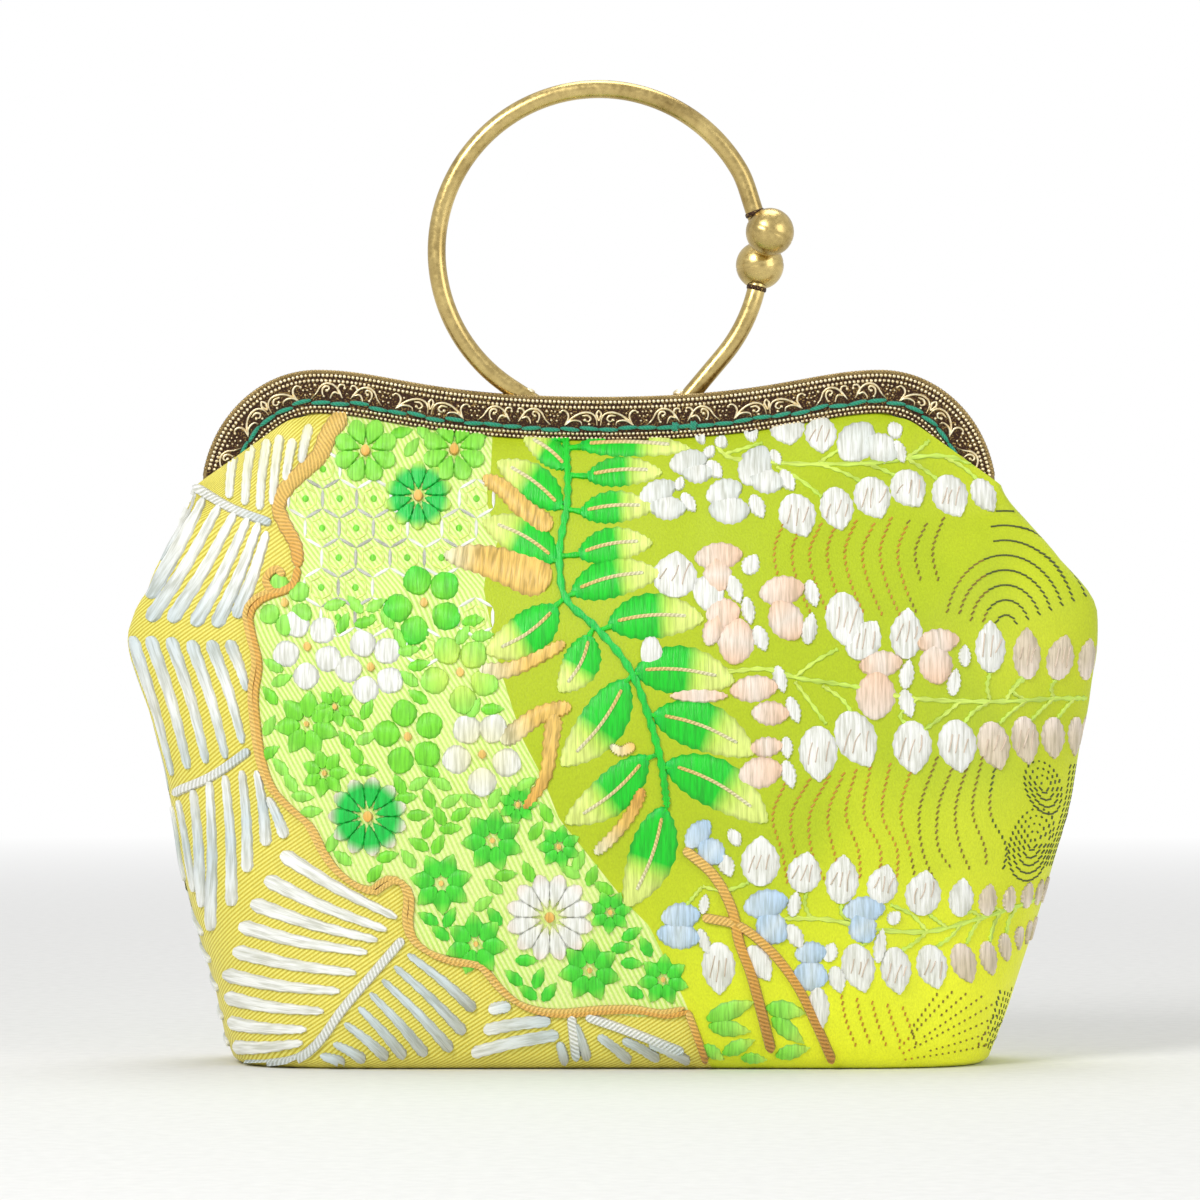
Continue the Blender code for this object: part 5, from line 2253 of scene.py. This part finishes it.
@dataclass(frozen=True)
class Wisteria:
    """Three hanging rows of wisteria: white, peach and pale blue."""

    # Petals and lobes: centre, width, height, lean.
    petals: tuple[Row, ...] = (
        (796, 517, 35, 41, 158), (835, 510, 32, 40, 168), (871, 499, 35, 40, 158), (907, 490, 34, 37, 150),
        (949, 497, 34, 41, 155), (983, 496, 23, 34, 150), (787, 430, 33, 30, 170), (820, 436, 30, 34, 176),
        (714, 471, 15, 19, 140), (709, 453, 11, 13, 40), (688, 504, 13, 20, 145), (679, 485, 10, 13, 20),
        (775, 459, 11, 15, 150), (786, 482, 15, 21, 150), (756, 508, 15, 23, 155), (721, 443, 13, 12, 30),
        (700, 438, 15, 9, 60), (751, 434, 17, 13, 70), (898, 453, 13, 21, 160), (894, 431, 17, 14, 70),
        (674, 575, 42, 42, 5), (749, 565, 17, 20, 30), (708, 594, 36, 28, 60), (733, 590, 15, 26, 160),
        (746, 611, 13, 25, 170), (809, 594, 14, 25, 165), (806, 628, 15, 29, 10), (758, 638, 15, 24, 160),
        (841, 620, 36, 50, 172), (860, 639, 33, 40, 35), (902, 633, 31, 46, 4), (986, 646, 29, 47, 0),
        (651, 652, 34, 20, 90), (777, 678, 13, 25, 165), (790, 708, 13, 25, 160), (783, 745, 12, 20, 175),
        (785, 771, 14, 26, 165), (902, 673, 14, 27, 10), (902, 702, 15, 26, 165), (949, 681, 13, 25, 10),
        (960, 655, 12, 20, 0), (814, 751, 36, 50, 178), (852, 737, 38, 54, 155), (907, 745, 37, 48, 175),
        (952, 744, 37, 48, 172), (757, 855, 36, 45, 2), (800, 866, 32, 37, 10), (837, 873, 31, 44, 4),
        (877, 878, 29, 36, 14), (917, 887, 34, 41, 8), (955, 892, 24, 35, 6), (716, 960, 31, 47, 178),
        (756, 955, 22, 36, 150), (853, 960, 31, 45, 165), (890, 963, 29, 43, 172), (926, 960, 29, 41, 165),
        (814, 1000, 20, 40, 176), (732, 832, 18, 12, 60), (724, 860, 15, 21, 160), (702, 897, 10, 18, 10),
        (702, 934, 11, 25, 160), (790, 897, 13, 23, 12), (791, 929, 15, 25, 150), (825, 944, 15, 18, 20),
        (832, 971, 16, 25, 165), (888, 911, 13, 14, 40), (874, 938, 12, 31, 8))
    stone: tuple[Row, ...] = (
        (989, 744, 31, 45, 165), (1021, 739, 27, 44, 172), (1050, 737, 24, 38, 178),
        (1076, 736, 19, 36, 176), (1023, 653, 27, 47, 0), (1058, 657, 27, 42, 14), (1086, 659, 18, 38, 6),
        (958, 957, 24, 38, 160), (983, 953, 17, 32, 168), (1000, 943, 13, 26, 172), (1016, 935, 11, 22, 176),
        (982, 895, 18, 29, 8), (1004, 895, 13, 24, 8), (1023, 892, 12, 24, 12), (1041, 890, 12, 24, 10),
        (1058, 888, 12, 24, 10), (1033, 930, 11, 22, 176), (1050, 927, 11, 22, 176), (1103, 657, 18, 36, 4),
        (1096, 734, 18, 34, 176))
    # Pea flowers: dye, its pale end, then upper and lower lobes in turn.
    peas: tuple[tuple[Dye, Dye, tuple[Row, ...]], ...] = (
        (Dye.PEARL, Dye.WHITE, (
            (688, 463, 24, 34, 78), (697, 474, 19, 27, 88), (657, 493, 22, 34, 66), (667, 509, 22, 32, 92),
            (754, 467, 30, 38, 30), (765, 482, 23, 31, 100), (723, 493, 24, 33, 70), (728, 511, 26, 36, 92),
            (855, 443, 34, 40, 40), (880, 449, 27, 32, 120))),
        (Dye.PEACH, Dye.BLUSH, (
            (717, 557, 25, 42, 84), (716, 576, 26, 30, 175), (721, 613, 28, 30, 80), (734, 641, 33, 40, 10),
            (779, 591, 27, 40, 80), (783, 620, 31, 38, 150), (711, 630, 18, 28, 20), (876, 663, 24, 38, 84),
            (871, 694, 36, 42, 5), (933, 641, 23, 38, 84), (931, 664, 31, 34, 170), (751, 687, 24, 42, 84),
            (767, 711, 22, 33, 92), (763, 744, 18, 29, 84), (757, 769, 28, 39, 78), (697, 694, 13, 50, 90))),
        (Dye.SKY, Dye.MIST, (
            (696, 829, 20, 30, 40), (709, 846, 24, 26, 130), (679, 909, 24, 34, 84), (677, 928, 24, 38, 98),
            (762, 897, 26, 39, 78), (768, 921, 28, 30, 130), (858, 903, 24, 37, 84), (857, 921, 26, 27, 150),
            (806, 945, 21, 28, 84), (806, 967, 28, 30, 100))),
    )
    stems: tuple[tuple[Paper, ...], ...] = (
        ((716, 448), (726, 457), (760, 462), (792, 465), (840, 465), (880, 463), (904, 459), (943, 457),
        (978, 466)), ((775, 468), (800, 482), (820, 498)), ((817, 465), (845, 475), (862, 484)), ((858, 463),
        (880, 470), (898, 479)), ((904, 459), (922, 470), (938, 482)), ((943, 458), (962, 468), (978, 482)),
        ((722, 456), (742, 450), (762, 444)), ((817, 464), (836, 452), (852, 445)), ((904, 459), (918, 450),
        (928, 441)), ((700, 672), (730, 670), (765, 668), (791, 676), (830, 682), (868, 688)), ((791, 676),
        (812, 660), (834, 648)), ((791, 680), (806, 700), (822, 722)), ((818, 684), (838, 698), (848, 712)),
        ((868, 690), (912, 697), (960, 700), (1010, 700), (1050, 698), (1088, 698)), ((912, 697), (895, 716),
        (903, 724)), ((955, 700), (932, 718), (918, 728)), ((985, 700), (966, 712), (958, 722)), ((985, 700),
        (982, 685), (985, 672)), ((1022, 700), (1005, 712), (994, 722)), ((1022, 700), (1008, 690),
        (1018, 676)), ((1050, 698), (1036, 710), (1026, 720)), ((1050, 698), (1048, 686), (1054, 678)),
        ((1072, 698), (1062, 708), (1054, 718)), ((1000, 700), (1010, 686), (1022, 677)), ((780, 911),
        (820, 912), (870, 922), (921, 925), (970, 914), (1000, 906), (1034, 897)), ((806, 912), (800, 895),
        (802, 886)), ((850, 916), (836, 906), (836, 896)), ((921, 925), (905, 908), (884, 898)), ((940, 921),
        (930, 914), (922, 908)), ((921, 925), (905, 938), (893, 944)), ((955, 918), (945, 930), (930, 940)),
        ((975, 912), (966, 925), (960, 938)), ((975, 912), (964, 906), (957, 909)), ((995, 907), (988, 920),
        (984, 937)), ((995, 907), (986, 903), (983, 908)), ((1012, 903), (1004, 915), (1001, 929)),
        ((870, 922), (860, 935), (852, 940)), ((700, 880), (690, 892), (684, 899)), ((700, 880), (722, 884),
        (746, 876)))
    petal: Stitch = Stitch(Cut.PETAL, 3.0, 90.0, 16, 0.7, 0.7)
    pea: Stitch = Stitch(Cut.EGG, 3.3, 90.0, 16, 0.7, 0.7)
    crease: Stitch = Stitch(Cut.BAR, 3.8, None, 6, 0.0, 0.85)
    # Petals wider and taller than this are creased.
    plain_size: Paper = (25.0, 32.0)

    @staticmethod
    def lobe(weaver: Weaver, shape: Row, dyes: Sequence[Dye], stitch: Stitch, swell: float = 1.1) -> None:
        """Lay one petal or lobe, a little larger than its shape's centre, width, height and lean say."""
        x, y, width, height, lean = shape
        weaver.blob("wisteria_petals", (x, y), (width * swell, height * swell), dyes, stitch, lean)

    def creases(self, weaver: Weaver, shape: Row) -> None:
        """Lay three fine creases down a large petal, each in its own slant.

        Args:
            weaver: The weaver of one side.
            shape: The petal's centre, width, height and lean.
        """
        x, y, width, height, _ = shape
        rng = weaver.rng
        for across in (-0.24, 0.0, 0.23):
            middle = x + (across + rng.uniform(-0.05, 0.05)) * width
            low, high, lean = rng.uniform(0.12, 0.3), rng.uniform(0.12, 0.3), rng.uniform(0.03, 0.13)
            knots = ((middle + lean * width, y - high * height),
                     (middle + rng.uniform(-0.03, 0.03) * width, y),
                     (middle - lean * width, y + low * height))
            weaver.stroke("wisteria_creases", knots, 1.4, (Dye.TAUPE,), self.crease)

    def weave(self, weaver: Weaver) -> None:
        """Lay the stems, then the petals and the pea flowers over them.

        Args:
            weaver: The weaver of one side.
        """
        for stem in self.stems:
            width, steps = (4.6, 34) if len(stem) > 3 else (3.6, 12)
            weaver.stroke("wisteria_stems", stem, width, (Dye.STEM, Dye.LIME),
                          Stitch(Cut.BAR, 1.7, None, steps, 0.8, 0.8))
        for shape in self.petals:
            self.lobe(weaver, shape, (Dye.WHITE, Dye.WHITE), self.petal)
        for shape in self.stone:
            self.lobe(weaver, shape, (Dye.BLUSH, Dye.STONE, Dye.STONE), self.petal)
        for dye, pale, shapes in self.peas:
            for index, shape in enumerate(shapes):
                self.lobe(weaver, shape, (dye, pale, dye) if index % 2 else (pale, dye), self.pea, 1.14)
        for shape in self.petals + self.stone:
            if shape[2] > self.plain_size[0] and shape[3] > self.plain_size[1]:
                self.creases(weaver, shape)


@dataclass(frozen=True)
class WaterLines:
    """Thin dashed lines of flowing water, rust brown on the left and dark on the right."""

    dash: float = 3.8
    gap: float = 2.4
    slant: float = 1.1
    width: float = 1.9
    stitch: Stitch = Stitch(Cut.CORD, 0.8, None, 1, 0.0, 0.9)
    # Columns up to which the lines are rust brown, and up to which they are umber.
    rust_end: float = 905.0
    umber_end: float = 985.0

    def run(self, weaver: Weaver, line: Sequence[Paper]) -> None:
        """Lay one line as slanted dashes.

        Args:
            weaver: The weaver of one side.
            line: The line's knots.
        """
        knots = np.array(line, float)
        length = float(np.linalg.norm(np.diff(knots, axis=0), axis=1).sum())
        count = int(length / (self.dash + self.gap))
        for index in range(count):
            low = index * (self.dash + self.gap) / length
            start, finish = smooth_line(knots, np.array((low, low + self.dash / length)))
            dye = next((dye for dye, end in ((Dye.RUST, self.rust_end), (Dye.UMBER, self.umber_end))
                        if start[0] < end), Dye.INK)
            ends = ((start[0] + self.slant, start[1]), (finish[0] - self.slant, finish[1]))
            weaver.stroke("water_lines", ends, self.width, (dye,), self.stitch)

    def weave(self, weaver: Weaver) -> None:
        """Lay the lines between the rows of wisteria.

        Args:
            weaver: The weaver of one side.
        """
        for index in range(10):
            x = 776 + 17.5 * index
            self.run(weaver, [(x + 8, 518 + 3 * (index % 3)), (x - 4, 552), (x + 2, 585), (x + 16, 618)]
                     [:4 if index < 8 else 3])
        for index in range(9):
            radius = 12.0 + 13.5 * index
            turns = range(18 if index < 7 else 36, 176 if index < 5 else 128 - 4 * index, 12)
            self.run(weaver, [(1002 + radius * 0.92 * math.cos(math.radians(turn)),
                               628 - radius * 1.1 * math.sin(math.radians(turn))) for turn in turns])
        for index in range(13):
            x = 772 + 18.0 * index
            sway = 7.0 * math.sin(index * 0.9)
            self.run(weaver, [(x + 10 + sway, 778 - min(24, index * 3)), (x - 3, 812), (x + 6 - sway, 846),
                              (x + 12 + sway * 0.4, 880 if index < 9 else 868)])
        for centre, most, tall, lean in (((1040, 786), 22, 1.4, 0.35), ((1028, 842), 25, 1.5, -0.25)):
            for radius in range(4, most, 5):
                self.run(weaver, [(centre[0] + radius * math.cos(turn) + lean * radius * math.sin(turn),
                                   centre[1] + radius * tall * math.sin(turn))
                                  for turn in np.linspace(0.0, 2.0 * math.pi, 13)])
        for index in range(3):
            x = 1064 + 8 * index
            self.run(weaver, [(x + 8, 764), (x + 4, 800), (x - 4, 830), (x - 16, 868)])
        for index in range(5):
            x = 836 + 15 * index
            self.run(weaver, [(x, 986 + 3 * index), (x + 4, 1008), (x + 16, 1040)])
        for index in range(8):
            angle = math.radians(7.0 + 6.5 * index)
            near, far = 18.0 + 26.0 * (index % 3), 160.0 - 10.0 * index
            self.run(weaver, [(880 + reach * math.cos(angle), 1053 - reach * math.sin(angle))
                              for reach in (near, (near + far) / 2, far)])
        for index in range(4):
            x = 1000 - 9 * index
            self.run(weaver, [(x, 1046 - 2 * index), (x + 14, 1016), (x + 24, 982)])


@dataclass(frozen=True)
class FallenLeaves:
    """Light green leaves near the foot of the bag."""

    leaves: tuple[Row, ...] = (
        (704, 1010, 752, 992, 20), (706, 1016, 748, 1022, 18), (762, 998, 802, 1004, 20),
        (768, 1008, 800, 1034, 18), (720, 1044, 752, 1030, 16), (772, 1046, 806, 1038, 16),
        (700, 1036, 722, 1050, 14), (738, 1048, 764, 1050, 12))

    def weave(self, weaver: Weaver) -> None:
        """Lay the leaves.

        Args:
            weaver: The weaver of one side.
        """
        for x, y, tip_x, tip_y, width in self.leaves:
            weaver.stroke("leaf_branch", ((x, y), (tip_x, tip_y)), width, (Dye.APPLE, Dye.SPRING, Dye.LIME),
                          Stitch(Cut.LEAF, 2.2, 90.0, 12, 0.6, 0.6))


# ---------------------------------------------------------------- studio


WHITE_LIGHT: Colour = (1.0, 1.0, 1.0, 1.0)


@dataclass
class Studio:
    """The camera, floor, backdrop and lamps."""

    focal: float = 180.0
    sensor: float = 36.0
    view_width: float = 0.312
    look_height: float = 0.1196
    mirrored_light: float = 0.75
    ambient_light: float = 0.42

    def camera(self) -> None:
        """A camera level with the middle of the photograph."""
        data = bpy.data.cameras.new("camera")
        data.lens = self.focal
        data.sensor_width = self.sensor
        data.clip_start = 0.05
        data.clip_end = 50.0
        camera = bpy.data.objects.new("camera", data)
        bpy.context.scene.collection.objects.link(camera)
        camera.location = (0.0003, -self.view_width * self.focal / self.sensor, self.look_height)
        camera.rotation_euler = (math.radians(90.0), 0.0, 0.0)
        bpy.context.scene.camera = camera

    def sweep(self) -> None:
        """A pale floor."""
        clear_selection()
        bpy.ops.mesh.primitive_plane_add(size=24.0, location=(0.0, 0.0, -0.0001))
        floor = bpy.context.object
        floor.name = "floor"
        mix = Recipe("floor_paper")
        grain = mix.noise(mix.place(), 240.0, 3.0)
        tone = mix.mix(mix.between(grain, 0.3, 0.7), screen_colour(226, 226, 224),
                       screen_colour(232, 232, 230))
        floor.data.materials.append(mix.finish(Base_Color=tone, Roughness=0.75,
                                               Normal=mix.bump(grain, 0.0002, 0.2)))
        far = mix.node("VectorMath", {"operation": "LENGTH"}, Vector=mix.place())
        share = mix.between(far.outputs["Value"], 0.35, 1.5)
        glow = mix.node("Emission", None, Color=WHITE_LIGHT, Strength=1.0)
        both = mix.node("MixShader")
        for socket, value in zip(both.inputs, (share, mix.shader.outputs[0], glow.outputs[0])):
            mix.feed(socket, value)
        mix.feed(mix.tree.nodes["Material Output"].inputs["Surface"], both.outputs[0])

    def world(self) -> None:
        """A pale world that the camera and reflections see as white."""
        world = bpy.data.worlds.new("studio")
        bpy.context.scene.world = world
        world.use_nodes = True
        nodes = Nodes(world.node_tree)
        rays = nodes.node("LightPath").outputs
        seen = nodes.math("MAXIMUM", rays["Is Camera Ray"], rays["Is Transmission Ray"])
        shiny = nodes.times(rays["Is Glossy Ray"], self.mirrored_light)
        strength = nodes.math("MAXIMUM", nodes.math("MAXIMUM", seen, shiny), self.ambient_light)
        background = nodes.tree.nodes["Background"]
        nodes.feed(background.inputs["Strength"], strength)
        nodes.feed(background.inputs["Color"], WHITE_LIGHT)

    def lamp(self, name: str, place: Sequence[float], power: float, size: float) -> None:
        """A soft square lamp that points at the bag.

        Args:
            name: The lamp's name.
            place: Where it stands.
            power: Its power, in watts.
            size: The length of its side.
        """
        data = bpy.data.lights.new(name, "AREA")
        data.energy = power
        data.size = size
        lamp = bpy.data.objects.new(name, data)
        bpy.context.scene.collection.objects.link(lamp)
        lamp.location = place
        aim = Vector((0.0, 0.0, 0.12)) - Vector(place)
        lamp.rotation_euler = aim.to_track_quat("-Z", "Y").to_euler()

    def set_up(self) -> None:
        """Build the studio."""
        self.camera()
        self.sweep()
        self.world()
        self.lamp("key_lamp", (-0.75, -1.05, 1.05), 14.0, 0.55)
        self.lamp("fill_lamp", (1.1, -0.9, 0.55), 4.5, 0.8)
        self.lamp("top_lamp", (0.1, 0.35, 1.35), 7.0, 0.7)
        bpy.context.scene.view_settings.view_transform = "Standard"


# Outlines of the woven fields on the point paper
PINE_FIELD: tuple[Paper, ...] = (
    (346, 400), (346, 418), (326, 440), (318, 458), (303, 474), (287, 492), (282, 510), (292, 530),
    (298, 552), (297, 574), (290, 590), (276, 593), (258, 598), (252, 613), (256, 636), (261, 660),
    (259, 693), (261, 726), (264, 752), (276, 786), (296, 805), (316, 822), (326, 842), (342, 865),
    (362, 880), (382, 887), (392, 875), (405, 875), (415, 888), (413, 908), (415, 931), (428, 941),
    (455, 955), (485, 958), (501, 978), (518, 994), (541, 1003), (560, 1004), (600, 1003), (640, 1008),
    (684, 1000), (690, 1012), (706, 1052), (720, 1075), (60, 1075), (60, 400),
)
FLOWER_FIELD: tuple[Paper, ...] = (
    (330, 380), (492, 380), (493, 440), (492, 470), (487, 500), (500, 540), (485, 586), (501, 663),
    (524, 735), (545, 775), (560, 813), (627, 897), (648, 918), (672, 967), (686, 999), (690, 1012),
    (640, 1012), (560, 1010), (500, 1000), (400, 950), (300, 900), (240, 760), (240, 600), (280, 480),
    (330, 420),
)


def main() -> None:
    """Build the handbag's looks and the studio, in order."""
    Studio().set_up()
    wire = Brass("brushed_antique_brass").material()
    # The relief's brass is paler than the wire's: worn bright, and with a painted highlight.
    worn = Brass("worn_relief_brass_with_painted_highlight", screen_colour(250, 240, 208), screen_colour(212, 190, 142),
                 roughness=0.36, patch=700.0).material()
    rolled = Brass("rolled_edge_brass", screen_colour(172, 150, 104), screen_colour(140, 118, 74),
                   roughness=0.3, patch=180.0).material()
    dark = Patina("stamped_patina").material()
    finishes = {
        "cord": TwistedCord("couched_cord").material(),
        "water": Floss("fine_line_floss", 0.0004, 0.1).material(),
        "brush": Floss("stitched_satin", 0.0012, 0.2, 0.42, 0.5).material(),
        "": Floss("satin_floss").material(),
    }
    thread = TwistedCord("teal_sewing_thread", 0.0009).material()
    ground = BrocadeGround("brocade_ground").material()
    lining = PlainCloth("lining_cotton", screen_colour(222, 214, 186)).material()
    card = PlainCloth("base_card", screen_colour(150, 138, 112), 0.002, 0.85).material()

    path = FramePath()
    shape = BagShape()
    for side in Side:
        PurseFrame(path, side).dress(rolled, worn, dark)
        SewingThread(path, side).dress(thread)
        chart = Chart(side)
        bag = BrocadeBag(shape, path, side)
        tree = bag.dress(ground, {"pine_field": PINE_FIELD, "flower_field": FLOWER_FIELD}, chart)
        weaver = Weaver(chart, shape, tree)
        for motif in (WaterLines(), FlowerField(), PineFans(), GoldBorder(), BrushStrokes(), LeafBranch(),
                      Wisteria(), FallenLeaves()):
            motif.weave(weaver)
        weaver.finish(finishes)
        BagLining(bag).dress(lining)
    RingHandle().dress(wire, dark, worn)
    for name, material in (("left_rivet", wire), ("right_rivet", wire), ("base_board", card)):
        refinish(name, material)


if __name__ == "__main__":
    logging.basicConfig(level=logging.INFO, format="%(message)s")
    main()
